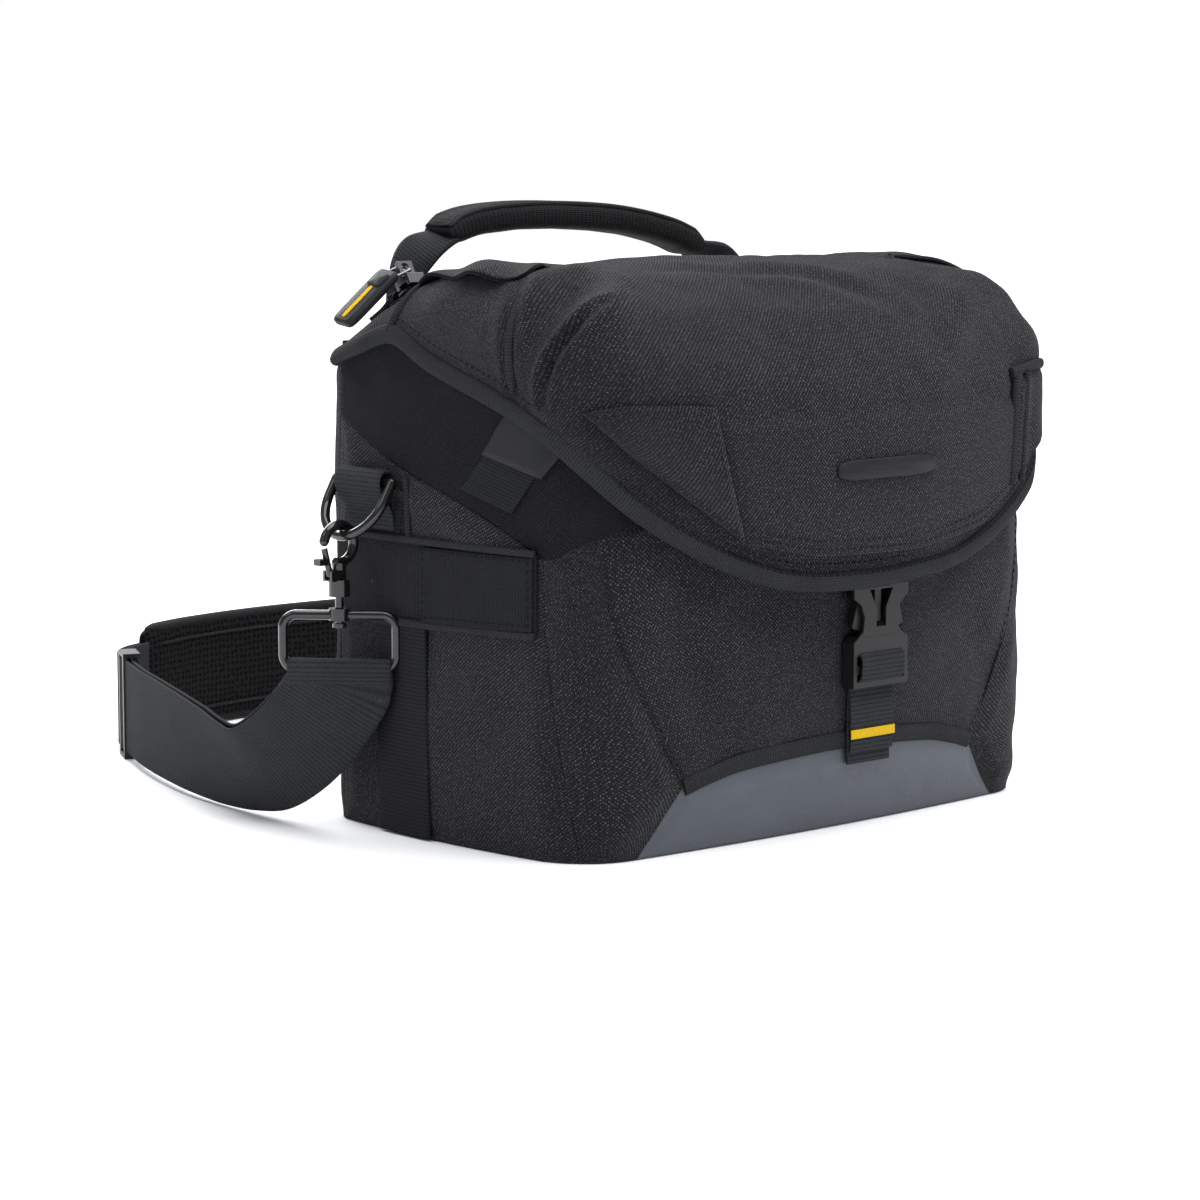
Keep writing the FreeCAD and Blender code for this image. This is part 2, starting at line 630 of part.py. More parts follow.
PAD_RUN = [
    ((-86, 342, 31.6), (0, 0, 1)),
    ((-40, 356, 31.6), (0, 0, 1)),
    ((20, 362, 31.6), (0, 0, 1)),
    ((80, 356, 31.6), (0, 0, 1)),
    ((130, 338, 31.6), (0, 0, 1)),
    ((170, 306, 31.6), (0, 0, 1)),
]


RIGHT_END = [(186, 196), (192, 230), (192, 262), (184, 288), (170.4, 305.6)]


def strap_parts():
    left = left_run()
    right_run = [((-x, y, z), (-w[0], w[1], w[2])) for (x, y, z), w in left[:7]]
    right_run += [((x, y, STRAP_Z), (0, 0, -1)) for x, y in RIGHT_END]
    tail = [((-86.3, 341.9, STRAP_Z), (0, 0, -1))]
    return {
        "strap_web_left": strap_ribbon(left + tail, STRAP_W, STRAP_T),
        "strap_web_right": strap_ribbon(right_run, STRAP_W, STRAP_T),
        "strap_pad": strap_ribbon(PAD_RUN, PAD_W, PAD_T),
    }


def tri_glide():
    """Adjuster that rides the webbing: two bars outside, one bar inside."""
    a, b = V(*GLIDE_FROM), V(*GLIDE_TO)
    along = (b - a).normalize()
    half_h, half_l = 28.5, 10.0
    caps = [box(-half_l, half_l, -4.6, 4.6, z, z + 2.2) for z in (-half_h, half_h - 2.2)]
    bars = [box(x, x + 4, 2.2, 4.6, -half_h, half_h) for x in (-half_l, half_l - 4)]
    bars.append(box(-2.2, 2.2, -4.6, -2.2, -half_h, half_h))
    glide = join(caps + bars)
    glide.rotate(V(0, 0, 0), V(0, 0, 1), math.degrees(math.atan2(along.y, along.x)))
    centre = (a + b) * 0.5
    return shifted(glide, centre.x, centre.y, STRAP_Z)


# --- write --------------------------------------------------------------------------
def collect():
    nodes = {}
    nodes.update(body_panels())
    nodes.update(insert_pads())
    nodes["front_pocket"] = front_pocket()
    nodes["toe_panel"] = toe_panel()
    nodes["pocket_binding"] = pocket_binding()
    nodes.update(side_trim())
    hardware = {"ring_keeper": ring_keeper(), "d_ring": d_ring(), "snap_hook": snap_hook(),
                "hook_gate": hook_gate(), "strap_loop": strap_loop()}
    for name, shape in hardware.items():
        nodes[name + "_left"] = shape
        nodes[name + "_right"] = mirrored(shape)
    nodes.update(flap_panels())
    nodes.update(flap_trim())
    nodes.update(zip_parts())
    nodes["zip_shackle"], nodes["zip_tab"] = zip_pull()
    nodes.update(handle_parts())
    nodes.update(buckle_socket())
    nodes["buckle_plug"] = buckle_plug()
    arm = plug_arm()
    nodes["plug_arm_left"] = arm
    nodes["plug_arm_right"] = shifted(mirrored(arm), 2 * BUCKLE_X, 0, 0)
    nodes.update(front_webbing())
    nodes.update(strap_parts())
    nodes["strap_glide"] = tri_glide()
    return nodes


def write():
    os.makedirs("parts", exist_ok=True)
    for name, shape in collect().items():
        shape.exportStep(os.path.join("parts", name + ".step"))


write()
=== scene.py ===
import math

import bmesh
import bpy
import numpy as np
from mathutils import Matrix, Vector, noise


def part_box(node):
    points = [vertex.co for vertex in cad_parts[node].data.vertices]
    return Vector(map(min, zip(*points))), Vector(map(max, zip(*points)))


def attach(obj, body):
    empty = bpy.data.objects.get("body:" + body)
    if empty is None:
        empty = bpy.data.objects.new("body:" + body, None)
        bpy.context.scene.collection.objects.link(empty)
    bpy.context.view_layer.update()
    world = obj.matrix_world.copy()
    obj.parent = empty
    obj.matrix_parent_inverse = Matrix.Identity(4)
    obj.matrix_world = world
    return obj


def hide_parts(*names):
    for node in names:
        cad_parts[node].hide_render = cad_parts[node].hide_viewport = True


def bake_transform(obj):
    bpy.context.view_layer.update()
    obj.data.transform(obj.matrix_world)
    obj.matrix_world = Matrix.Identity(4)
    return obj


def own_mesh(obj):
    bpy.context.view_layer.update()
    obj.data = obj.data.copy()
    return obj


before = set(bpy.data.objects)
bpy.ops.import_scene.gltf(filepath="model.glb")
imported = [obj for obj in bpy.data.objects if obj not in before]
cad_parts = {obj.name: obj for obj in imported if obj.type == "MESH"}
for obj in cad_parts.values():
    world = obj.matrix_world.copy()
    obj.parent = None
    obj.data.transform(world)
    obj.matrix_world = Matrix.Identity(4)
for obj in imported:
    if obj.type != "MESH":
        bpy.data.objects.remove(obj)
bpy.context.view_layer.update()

# All shapes are worked out in millimetres in the frame's axes and scaled on the way into a mesh.
MM = 0.001

# --- driving sizes ---
HALF_W = 155.0
DEPTH = 91.0
FLAP_HALF_W = 160.5
CROWN_TOP = 271.0
RIDGE_Y = 33.0
REAR_LOW = 233.5
REAR_SLOPE = 0.5259
BUCKLE_X = 16.0
BUCKLE_BACK = -109.8
RING_Y = 46.0
HOOK = (-185.75, 46.0, 140.75)
LOOP_YAW = math.radians(48.0)
LOOP_LOW = HOOK[2] - 60.0
STRAP_Z = 28.6
STRAP_WIDE = 50
STRAP_THICK = 1.7
# Lengths along the webbing at which it leaves the loop, the hook and the ring, and joins the bag.
STRAP_BENDS = (0, 24, 48, 74)


# --- small maths ---
def arr(points):
    return np.array(points, float)


def lengths(line):
    return np.concatenate([[0], np.cumsum(np.linalg.norm(np.diff(line, axis=0), axis=1))])


def resample(line, n):
    s = lengths(line)
    q = np.linspace(0, s[-1], n)
    return np.stack([np.interp(q, s, line[:, k]) for k in range(line.shape[1])], 1)


def smooth_line(points, n):
    """Catmull-Rom curve through the points, resampled evenly."""
    p = arr(points)
    if len(p) == 2:
        return resample(p, n)
    ext = np.vstack([2 * p[0] - p[1], p, 2 * p[-1] - p[-2]])
    t = np.linspace(0, 1, 24, endpoint=False)[:, None]
    parts = []
    for i in range(1, len(ext) - 2):
        a, b, c, d = ext[i - 1:i + 3]
        parts.append(0.5 * (2 * b + (c - a) * t + (2 * a - 5 * b + 4 * c - d) * t ** 2
                            + (3 * b - a - 3 * c + d) * t ** 3))
    return resample(np.vstack(parts + [p[-1:]]), n)


def soft_max(a, b, r):
    """Maximum of two distances with an edge of radius r."""
    return np.minimum(np.maximum(a, b), -r) + np.hypot(np.maximum(a + r, 0), np.maximum(b + r, 0))


def step(x, a, b):
    t = np.clip((x - a) / (b - a), 0, 1)
    return t * t * (3 - 2 * t)


def unit(v):
    return v / np.maximum(np.linalg.norm(v, axis=-1, keepdims=True), 1e-9)


def straight(a, b, n):
    return resample(arr([a, b]), n)


def turns(count):
    """Even angles of a closed ring."""
    return np.linspace(0, 2 * np.pi, count, endpoint=False)


def rounded(turn, power):
    """Cosine and sine of the turn, drawn out towards a square by a power below one."""
    return [np.sign(wave) * np.abs(wave) ** power for wave in (np.cos(turn), np.sin(turn))]


def sided(points, s):
    """Points drawn for the left side, put on the side s: 1 is the left and -1 the right."""
    return [(s * p[0], p[1], p[2]) for p in points]


def both(half, middle):
    """Outline that runs along its left half, through the middle and along the mirrored half."""
    return half + [middle] + sided(half, -1)[::-1]


def noise_at(points, scale, seed=0.0):
    flat = points.reshape(-1, 3) / scale
    values = [noise.noise((p[0] + seed, p[1] - seed, p[2] + 2 * seed)) for p in flat]
    return arr(values).reshape(points.shape[:-1])


# --- the two outer surfaces ---
def body_field(p):
    """Signed distance-like value of the soft body wall: zero on the cloth, positive outside."""
    x, y, z = p[..., 0], p[..., 1], p[..., 2]
    swell = np.sin(np.pi * np.clip(z / 235, 0, 1))
    low = 0.55 + 0.45 * step(z, 0, 45)
    side = np.abs(x) - (HALF_W + 7 * (1 - (y / DEPTH) ** 2) + 2 * swell)
    front = -y - (DEPTH + 14.5 * low * (1 - (x / 158) ** 2) + 1.5 * swell)
    rear = y - (DEPTH - 1 + 2 * swell * (1 - (x / HALF_W) ** 2))
    return soft_max(soft_max(side, front, 27), rear, 14)


def hood_field(p):
    """The flap's outer cloth: bowed sides, bowed front and a crowned top."""
    x, y, z = p[..., 0], p[..., 1], p[..., 2]
    side = np.abs(x) - (FLAP_HALF_W + 5 * (1 - (y / DEPTH) ** 2))
    front = -y - (97 + 27.5 * (1 - (x / 160) ** 2))
    crown = CROWN_TOP - 7 * ((y + 16) / 47.5) ** 2 - 3.5 * (x / 160) ** 4
    slope = REAR_LOW + (DEPTH - y) * REAR_SLOPE
    top = z - np.minimum(crown, slope + 40 * step(RIDGE_Y - y, 0, 30))
    return soft_max(soft_max(side, front, 24), top, 27)


def normals_of(field, p):
    e = 0.4
    g = [field(p + d) - field(p - d) for d in np.eye(3) * e]
    return unit(np.stack(g, -1))


def project(points, field, core=(0.0, 0.0, None), level=0.0):
    """Push points along rays from the bag's core until the field reads level."""
    base = points * arr([core[0], core[1], 0])
    base[..., 2] = points[..., 2] if core[2] is None else core[2]
    ray = points - base
    lo = np.full(points.shape[:-1], 0.05)
    hi = np.full(points.shape[:-1], 4.0)
    for _ in range(34):
        mid = (lo + hi) / 2
        inside = field(base + ray * mid[..., None]) < level
        lo = np.where(inside, mid, lo)
        hi = np.where(inside, hi, mid)
    return base + ray * hi[..., None]


def coons(low, high, left, right):
    """Grid between four border curves: low and high run across it, left and right up it."""
    u = np.linspace(0, 1, len(low))[None, :, None]
    v = np.linspace(0, 1, len(left))[:, None, None]
    corners = ((1 - u) * (1 - v) * low[0] + u * (1 - v) * low[-1]
               + (1 - u) * v * high[0] + u * v * high[-1])
    return (1 - v) * low[None] + v * high[None] + (1 - u) * left[:, None] + u * right[:, None] - corners


def ends(low, high, n):
    """Straight left and right borders between the ends of two curves."""
    return straight(low[0], high[0], n), straight(low[-1], high[-1], n)


def edge_gap(grid):
    """Distance of each grid point from the nearest border, measured along the grid."""
    along = np.linalg.norm(np.diff(grid, axis=1), axis=2)
    up = np.linalg.norm(np.diff(grid, axis=0), axis=2)
    m, n = grid.shape[:2]
    left = np.concatenate([np.zeros((m, 1)), np.cumsum(along, 1)], 1)
    low = np.concatenate([np.zeros((1, n)), np.cumsum(up, 0)], 0)
    return np.minimum(np.minimum(left, left[:, -1:] - left), np.minimum(low, low[-1:] - low))


def crease(points, line, depth, width, shoulder=0.0):
    """Valley along a 3-D line, with an optional raised shoulder each side."""
    dense = smooth_line(line, 24)
    flat = points.reshape(-1, 3)
    d = np.full(len(flat), 1e9)
    at = np.zeros(len(flat))
    for i, q in enumerate(dense):
        r = np.linalg.norm(flat - q, axis=1)
        at = np.where(r < d, i / (len(dense) - 1), at)
        d = np.minimum(d, r)
    fade = np.sin(np.pi * np.clip(0.08 + 0.84 * at, 0, 1)) ** 0.6
    h = -depth * np.exp(-(d / width) ** 2) + shoulder * np.exp(-((d - 2.1 * width) / width) ** 2)
    return (h * fade).reshape(points.shape[:-1])


# --- meshes ---
def link(name, data):
    """New object for mesh, light or camera data."""
    obj = bpy.data.objects.new(name, data)
    bpy.context.scene.collection.objects.link(obj)
    return obj


def values(items, field, width=1, kind=float):
    """One property of every item of a mesh, as an array."""
    out = np.zeros(len(items) * width, kind)
    items.foreach_get(field, out)
    return out.reshape(-1, width) if width > 1 else out


def make_mesh(name, verts, faces, uv=None):
    mesh = bpy.data.meshes.new(name)
    mesh.from_pydata((np.asarray(verts).reshape(-1, 3) * MM).tolist(), [], faces)
    mesh.polygons.foreach_set("use_smooth", [True] * len(mesh.polygons))
    obj = link(name, mesh)
    if uv is None:
        box_uv(obj)
    else:
        layer = mesh.uv_layers.new(name="UVMap")
        loops = values(mesh.loops, "vertex_index", kind=int)
        layer.data.foreach_set("uv", np.asarray(uv, float).reshape(-1, 2)[loops].ravel())
    return obj


def box_uv(obj):
    """Cloth coordinates in millimetres, laid on each face from the side it faces."""
    mesh = obj.data
    layer = mesh.uv_layers.get("UVMap") or mesh.uv_layers.new(name="UVMap")
    pick = np.abs(values(mesh.polygons, "normal", 3)).argmax(1)
    pick = np.repeat(pick, values(mesh.polygons, "loop_total", kind=int))
    p = (values(mesh.vertices, "co", 3) / MM)[values(mesh.loops, "vertex_index", kind=int)]
    u = np.where(pick == 0, p[:, 1], p[:, 0])
    v = np.where(pick == 2, p[:, 1], p[:, 2])
    layer.data.foreach_set("uv", np.stack([u, v], 1).ravel())


def grid_faces(m, n, wrap=False, start=0):
    cols = n if wrap else n - 1
    return [(start + r * n + c, start + r * n + (c + 1) % n,
             start + (r + 1) * n + (c + 1) % n, start + (r + 1) * n + c)
            for r in range(m - 1) for c in range(cols)]


def grid_uv(grid):
    """Cloth coordinates that follow the grid, in millimetres."""
    along = np.linalg.norm(np.diff(grid, axis=1), axis=2).mean(0)
    up = np.linalg.norm(np.diff(grid, axis=0), axis=2).mean(1)
    u = np.concatenate([[0], np.cumsum(along)])
    v = np.concatenate([[0], np.cumsum(up)])
    return np.stack(np.meshgrid(u, v), -1)


def sheet(name, grid, thick, offset=-1.0, uv=None):
    """Cloth of a thickness laid over a grid."""
    obj = make_mesh(name, grid, grid_faces(*grid.shape[:2]), grid_uv(grid) if uv is None else uv)
    mod = obj.modifiers.new("thick", "SOLIDIFY")
    mod.thickness = thick * MM
    mod.offset = offset
    graph = bpy.context.evaluated_depsgraph_get()
    mesh = bpy.data.meshes.new_from_object(obj.evaluated_get(graph))
    obj.modifiers.clear()
    obj.data = mesh
    return obj


def join(name, objs):
    bm = bmesh.new()
    mats = []
    for obj in objs:
        shift = len(mats)
        count = len(bm.faces)
        bm.from_mesh(obj.data)
        bm.faces.ensure_lookup_table()
        for face in bm.faces[count:]:
            face.material_index += shift
        mats += list(obj.data.materials) or [None]
    mesh = bpy.data.meshes.new(name)
    bm.to_mesh(mesh)
    bm.free()
    for mat in mats:
        mesh.materials.append(mat)
    for obj in objs:
        bpy.data.objects.remove(obj)
    return link(name, mesh)


def frames_along(path, up):
    """Across and normal vectors along a path, the normal kept near up."""
    tangent = unit(np.gradient(path, axis=0))
    across = unit(np.cross(tangent, np.broadcast_to(arr(up), path.shape)))
    return across, unit(np.cross(across, tangent))


def band_frames(path, across):
    """Across and normal vectors along a band whose width runs close to across."""
    tangent = unit(np.gradient(path, axis=0))
    normal = unit(np.cross(tangent, np.broadcast_to(arr(across), path.shape)))
    return unit(np.cross(normal, tangent)), normal


def tube(name, rings, around, along):
    """Closed tube through rings of points, with cloth coordinates around and along it."""
    count, sides = rings.shape[:2]
    uv = np.stack([np.broadcast_to(around, (count, sides)),
                   np.broadcast_to(along[:, None], (count, sides))], -1)
    last = (count - 1) * sides
    faces = grid_faces(count, sides, wrap=True)
    faces += [tuple(range(sides))[::-1], tuple(range(last, last + sides))]
    return make_mesh(name, rings, faces, uv)


def sweep(name, path, up, width, height, taper=0.0):
    """Tape or piping: a rounded section swept along a path. up points away from the cloth."""
    across, normal = frames_along(path, up)
    cx, cz = rounded(turns(12), 2 / 2.4)
    cx = cx * width / 2
    cz = cz * height / 2
    s = lengths(path)
    grow = np.ones(len(path))
    if taper:
        grow = np.clip(np.minimum(s, s[-1] - s) / taper, 0.02, 1) ** 0.5
    rings = (path[:, None] + across[:, None] * cx[None, :, None] * grow[:, None, None]
             + normal[:, None] * cz[None, :, None] * grow[:, None, None])
    return tube(name, rings, lengths(np.stack([cx, cz], 1)), s)


def ribbon(name, path, across, width, thick, bow=0.0):
    """Webbing: flat band with rounded selvedges, its width along the across vectors."""
    across, normal = band_frames(path, across)
    half = width / 2
    xs = np.concatenate([np.linspace(-half + 0.8, half - 0.8, 13), [half - 0.2, half, half - 0.2]])
    zs = np.concatenate([np.full(13, thick / 2), [thick * 0.3, 0, -thick * 0.3]])
    cx = np.concatenate([xs, -xs])
    cz = np.concatenate([zs, -zs]) + bow * (1 - (cx / half) ** 2)
    rings = path[:, None] + across[:, None] * cx[None, :, None] + normal[:, None] * cz[None, :, None]
    return tube(name, rings, cx, lengths(path))


def stitches(path, up, lift=0.15):
    """A row of thread stitches lying on the cloth along a path."""
    length, gap, radius = 2.6, 1.3, 0.32
    count = max(int(lengths(path)[-1] / (length + gap)), 2)
    p = resample(path, count + 1)
    up = resample(np.ascontiguousarray(np.broadcast_to(arr(up), path.shape)), count + 1)
    across, normal = frames_along(p, unit(up))
    verts, faces = [], []
    for i in range(count):
        c = (p[i] + p[i + 1]) / 2 + normal[i] * lift
        t = unit(p[i + 1] - p[i])
        k = len(verts)
        verts.append(c - t * length / 2 - normal[i] * radius)
        for f in (-0.32, 0.32):
            verts += [c + t * length * f + across[i] * a * radius + normal[i] * b * radius
                      for a, b in ((1, 0), (0, 1), (-1, 0), (0, -1))]
        verts.append(c + t * length / 2 - normal[i] * radius)
        for j in range(4):
            a, b = k + 1 + j, k + 1 + (j + 1) % 4
            faces += [(k, b, a), (a, b, b + 4, a + 4), (k + 9, a + 4, b + 4)]
    return make_mesh("row", arr(verts), faces, np.zeros((len(verts), 2)))


# --- materials ---
class Graph:
    """Short way to write a node material."""

    def __init__(self, name):
        self.mat = bpy.data.materials.new(name)
        self.mat.use_nodes = True
        self.nodes = self.mat.node_tree.nodes
        self.links = self.mat.node_tree.links
        self.shader = self.nodes["Principled BSDF"]

    def add(self, kind, **values):
        node = self.nodes.new(kind)
        for key, value in values.items():
            setattr(node, key, value)
        return node

    def plug(self, socket, value):
        if isinstance(value, bpy.types.NodeSocket):
            self.links.new(value, socket)
        else:
            socket.default_value = value

    def math(self, op, a, b=0.0):
        node = self.add("ShaderNodeMath", operation=op)
        for socket, value in zip(node.inputs, (a, b)):
            self.plug(socket, value)
        return node.outputs[0]

    def times(self, a, b):
        return self.math("MULTIPLY", a, b)

    def plus(self, a, b):
        return self.math("ADD", a, b)

    def wave(self, value, pitch):
        return self.math("SINE", self.times(value, math.pi / pitch))

    def mix(self, factor, a, b):
        node = self.add("ShaderNodeMix", data_type="RGBA")
        self.plug(node.inputs[0], factor)
        self.plug(node.inputs[6], a)
        self.plug(node.inputs[7], b)
        return node.outputs[2]

    def noise(self, vector, scale, detail=3.0):
        node = self.add("ShaderNodeTexNoise")
        self.plug(node.inputs["Vector"], vector)
        node.inputs["Scale"].default_value = scale
        node.inputs["Detail"].default_value = detail
        return node.outputs[0]

    def ramp(self, value, low, high):
        node = self.add("ShaderNodeMapRange")
        self.plug(node.inputs[0], value)
        node.inputs[1].default_value = low
        node.inputs[2].default_value = high
        return node.outputs[0]

    def uv(self):
        node = self.add("ShaderNodeUVMap")
        node.uv_map = "UVMap"
        split = self.add("ShaderNodeSeparateXYZ")
        self.links.new(node.outputs[0], split.inputs[0])
        return node.outputs[0], split.outputs[0], split.outputs[1]

    def position(self):
        return self.add("ShaderNodeTexCoord").outputs["Object"]

    def bump(self, height, strength, distance, after=None):
        node = self.add("ShaderNodeBump")
        node.inputs["Strength"].default_value = strength
        node.inputs["Distance"].default_value = distance
        self.plug(node.inputs["Height"], height)
        if after is not None:
            self.links.new(after, node.inputs["Normal"])
        return node.outputs[0]

    def finish(self, color, roughness, normal, metallic=0.0, sheen=0.0, coat=0.0, specular=0.5):
        self.plug(self.shader.inputs["Base Color"], color)
        self.plug(self.shader.inputs["Roughness"], roughness)
        self.plug(self.shader.inputs["Normal"], normal)
        self.shader.inputs["Metallic"].default_value = metallic
        self.shader.inputs["Sheen Weight"].default_value = sheen
        self.shader.inputs["Sheen Roughness"].default_value = 0.4
        self.shader.inputs["Sheen Tint"].default_value = (0.93, 0.95, 1.0, 1.0)
        self.shader.inputs["Coat Weight"].default_value = coat
        self.shader.inputs["Specular IOR Level"].default_value = specular
        return self.mat


# Specular level of every cloth.
SHINE = 0.07


def rgb(r, g, b):
    return (r, g, b, 1.0)


def tone(color, k):
    return (color[0] * k, color[1] * k, color[2] * k, 1.0)


def woven(name, color, pitch, bump=0.5, rough=0.8, light=1.9, sheen=0.0, glint_amount=0.35):
    """Plain weave: threads over and under, uneven dye, painted light on the thread crests, painted shade in
    the hollows between them and painted glints on some crests.
    """
    g = Graph(name)
    vector, u, v = g.uv()
    pu = g.wave(u, pitch)
    pv = g.wave(v, pitch)
    over = g.math("GREATER_THAN", g.times(pu, pv), 0.0)
    hu, hv = g.math("ABSOLUTE", pu), g.math("ABSOLUTE", pv)
    thread = g.plus(g.times(hu, over), g.times(hv, g.math("SUBTRACT", 1.0, over)))
    cloudy = g.noise(vector, 0.03, 4.0)
    fibre = g.noise(vector, 0.8 / pitch, 3.0)
    # Painted glints: light flecks set only on the crests of the over threads, where a highlight would
    # catch.
    painted_glint = g.times(g.times(over, thread), glint_amount)
    painted_glint = g.times(g.ramp(fibre, 0.47, 0.66), painted_glint)
    # Painted light and shade: thread crests lighter and the hollows between threads darker, with the uneven
    # dye mixed in.
    painted_relief_shade_and_dye = g.plus(g.times(thread, 0.6), g.times(over, 0.3))
    painted_relief_shade_and_dye = g.plus(painted_relief_shade_and_dye, g.times(cloudy, 0.2))
    base = g.mix(painted_relief_shade_and_dye, tone(color, 0.3), tone(color, light))
    base = g.mix(painted_glint, base, tone(color, light * 6.5))
    height = g.plus(thread, g.times(fibre, 0.5))
    fine = g.bump(height, bump, 0.0004)
    soft = g.bump(cloudy, 0.25, 0.004, fine)
    roughness = g.plus(rough, g.times(cloudy, 0.12))
    return g.finish(base, roughness, soft, sheen=sheen, specular=SHINE)


def ribbed(name, color, rib=1.7, light=2.0, bump=0.7, rough=0.75):
    """Webbing: close ribs across the band, finer warp lines along it, painted light on the ribs and painted
    shade in the grooves.
    """
    g = Graph(name)
    vector, u, v = g.uv()
    rows = g.math("ABSOLUTE", g.wave(v, rib))
    lines = g.math("ABSOLUTE", g.wave(u, 1.15))
    height = g.plus(g.times(rows, 0.65), g.times(lines, 0.45))
    cloudy = g.noise(vector, 0.05, 4.0)
    fibre = g.noise(vector, 1.6, 2.0)
    # Painted light and shade: raised ribs and warp lines lighter, grooves darker, with uneven dye mixed in.
    painted_relief_shade_and_dye = g.plus(g.times(height, 0.6), g.times(cloudy, 0.4))
    base = g.mix(painted_relief_shade_and_dye, tone(color, 0.15), tone(color, light * 1.25))
    base = g.mix(g.times(g.ramp(fibre, 0.55, 0.7), 0.4), base, tone(color, light * 2.6))
    normal = g.bump(g.plus(height, g.times(fibre, 0.4)), bump, 0.0005)
    return g.finish(base, g.plus(rough, g.times(cloudy, 0.1)), normal, specular=SHINE)


def meshed(name, color, cell=3.4):
    """Spacer mesh: staggered holes in a knitted face, painted shade in the holes and painted light on the
    rims.
    """
    g = Graph(name)
    vector, _, _ = g.uv()
    node = g.add("ShaderNodeTexVoronoi", voronoi_dimensions="2D")
    g.links.new(vector, node.inputs["Vector"])
    node.inputs["Scale"].default_value = 1 / cell
    node.inputs["Randomness"].default_value = 0.3
    hole = g.ramp(node.outputs["Distance"], 0.18, 0.42)
    fibre = g.noise(vector, 2.0, 2.0)
    # Painted shade and light: hole centres darkened and the rims between them lightened.
    base = g.mix(hole, tone(color, 0.25), tone(color, 1.6))
    base = g.mix(g.times(g.ramp(fibre, 0.5, 0.75), 0.35), base, tone(color, 2.6))
    normal = g.bump(g.plus(hole, g.times(fibre, 0.2)), 0.8, 0.001)
    return g.finish(base, g.plus(0.8, g.times(fibre, 0.1)), normal, specular=SHINE)


def coated(name, color, pitch=0.9):
    """Tarpaulin: a sealed face with the scrim showing through on the bias as relief, its raised lines
    painted lighter as highlight.
    """
    g = Graph(name)
    vector, u, v = g.uv()
    diagonal = g.wave(g.plus(u, v), pitch)
    cross = g.wave(g.math("SUBTRACT", u, v), pitch * 1.6)
    height = g.plus(g.times(diagonal, 0.5), g.times(cross, 0.3))
    cloudy = g.noise(vector, 0.025, 5.0)
    scuff = g.noise(vector, 0.4, 3.0)
    base = g.mix(cloudy, tone(color, 0.8), tone(color, 1.25))
    # Painted highlight: the raised diagonal lines are a little lighter.
    base = g.mix(g.times(g.ramp(height, -0.2, 0.8), 0.12), base, tone(color, 1.7))
    normal = g.bump(g.plus(height, g.times(scuff, 0.7)), 0.35, 0.0003)
    rough = g.plus(0.36, g.times(scuff, 0.3))
    return g.finish(base, rough, g.bump(cloudy, 0.2, 0.004, normal))


def moulded(name, color, rough=0.34, grain=0.25, edge=0.5, specular=0.5):
    """Moulded plastic or rubber: fine grain, rounded edges, worn highlights."""
    g = Graph(name)
    at = g.position()
    fine = g.noise(at, 2200.0, 2.0)
    broad = g.noise(at, 60.0, 4.0)
    bevel = g.add("ShaderNodeBevel", samples=6)
    bevel.inputs["Radius"].default_value = edge * MM
    normal = g.bump(fine, grain, 0.0001, bevel.outputs[0])
    base = g.mix(broad, tone(color, 0.75), tone(color, 1.35))
    return g.finish(base, g.plus(rough, g.times(broad, 0.16)), normal, specular=specular)


def metal(name, color, rough=0.2, metallic=0.85, coat=0.4):
    """Plated or enamelled wire, with faint drawing marks."""
    g = Graph(name)
    at = g.position()
    marks = g.noise(at, 420.0, 5.0)
    broad = g.noise(at, 70.0, 3.0)
    bevel = g.add("ShaderNodeBevel", samples=6)
    bevel.inputs["Radius"].default_value = 0.4 * MM
    normal = g.bump(marks, 0.06, 0.0002, bevel.outputs[0])
    base = g.mix(broad, tone(color, 0.8), tone(color, 1.3))
    rough = g.plus(rough, g.times(g.plus(marks, broad), 0.08))
    return g.finish(base, rough, normal, metallic=metallic, coat=coat)


SHELL = woven("shell_cloth", rgb(0.0066, 0.0066, 0.0074), 0.95, bump=1.0, light=2.6, sheen=0.10, glint_amount=1.0)
SHELL_FINE = woven("shell_fine", rgb(0.0115, 0.0118, 0.0128), 0.7, bump=0.5, light=1.9)
KNIT = woven("knit_cloth", rgb(0.0085, 0.0087, 0.0097), 0.8, bump=0.5, light=1.6, glint_amount=0.25)
LINER = woven("liner", rgb(0.09, 0.095, 0.1), 0.6, bump=0.3, light=1.3)
WEB = ribbed("webbing", rgb(0.0150, 0.0158, 0.0176), rib=2.1)
# Painted shade: a darker copy of the webbing for the side belt, ring patches and tabs, standing for the
# dimmer light on the bag's sides.
SHADED_BELT = ribbed("belt_webbing_shaded", rgb(0.0088, 0.0091, 0.0102), rib=1.9)
BINDING = ribbed("binding", rgb(0.0125, 0.0128, 0.014), rib=1.5, light=2.2, bump=0.8)
HANDLE_MESH = ribbed("handle_mesh", rgb(0.009, 0.0092, 0.0098), rib=2.6, light=2.2, bump=1.0)
AIR_MESH = meshed("air_mesh", rgb(0.0055, 0.0056, 0.006))
TARP = coated("tarpaulin", rgb(0.058, 0.066, 0.081))
PLASTIC = moulded("black_plastic", rgb(0.006, 0.006, 0.0065), specular=0.34)
RUBBER = moulded("black_rubber", rgb(0.0105, 0.0108, 0.012), rough=0.5, grain=0.4, specular=0.2)
THREAD = woven("thread", rgb(0.034, 0.035, 0.038), 0.3, bump=0.2, light=1.6)
YELLOW = woven("yellow_tape", rgb(0.72, 0.46, 0.02), 0.5, bump=0.4, light=1.15, glint_amount=0.1)
BLACK_METAL = metal("black_metal", rgb(0.018, 0.018, 0.019), rough=0.16, metallic=0.7, coat=0.6)
BRIGHT_METAL = metal("bright_metal", rgb(0.14, 0.14, 0.15), rough=0.2, metallic=1.0, coat=0.0)


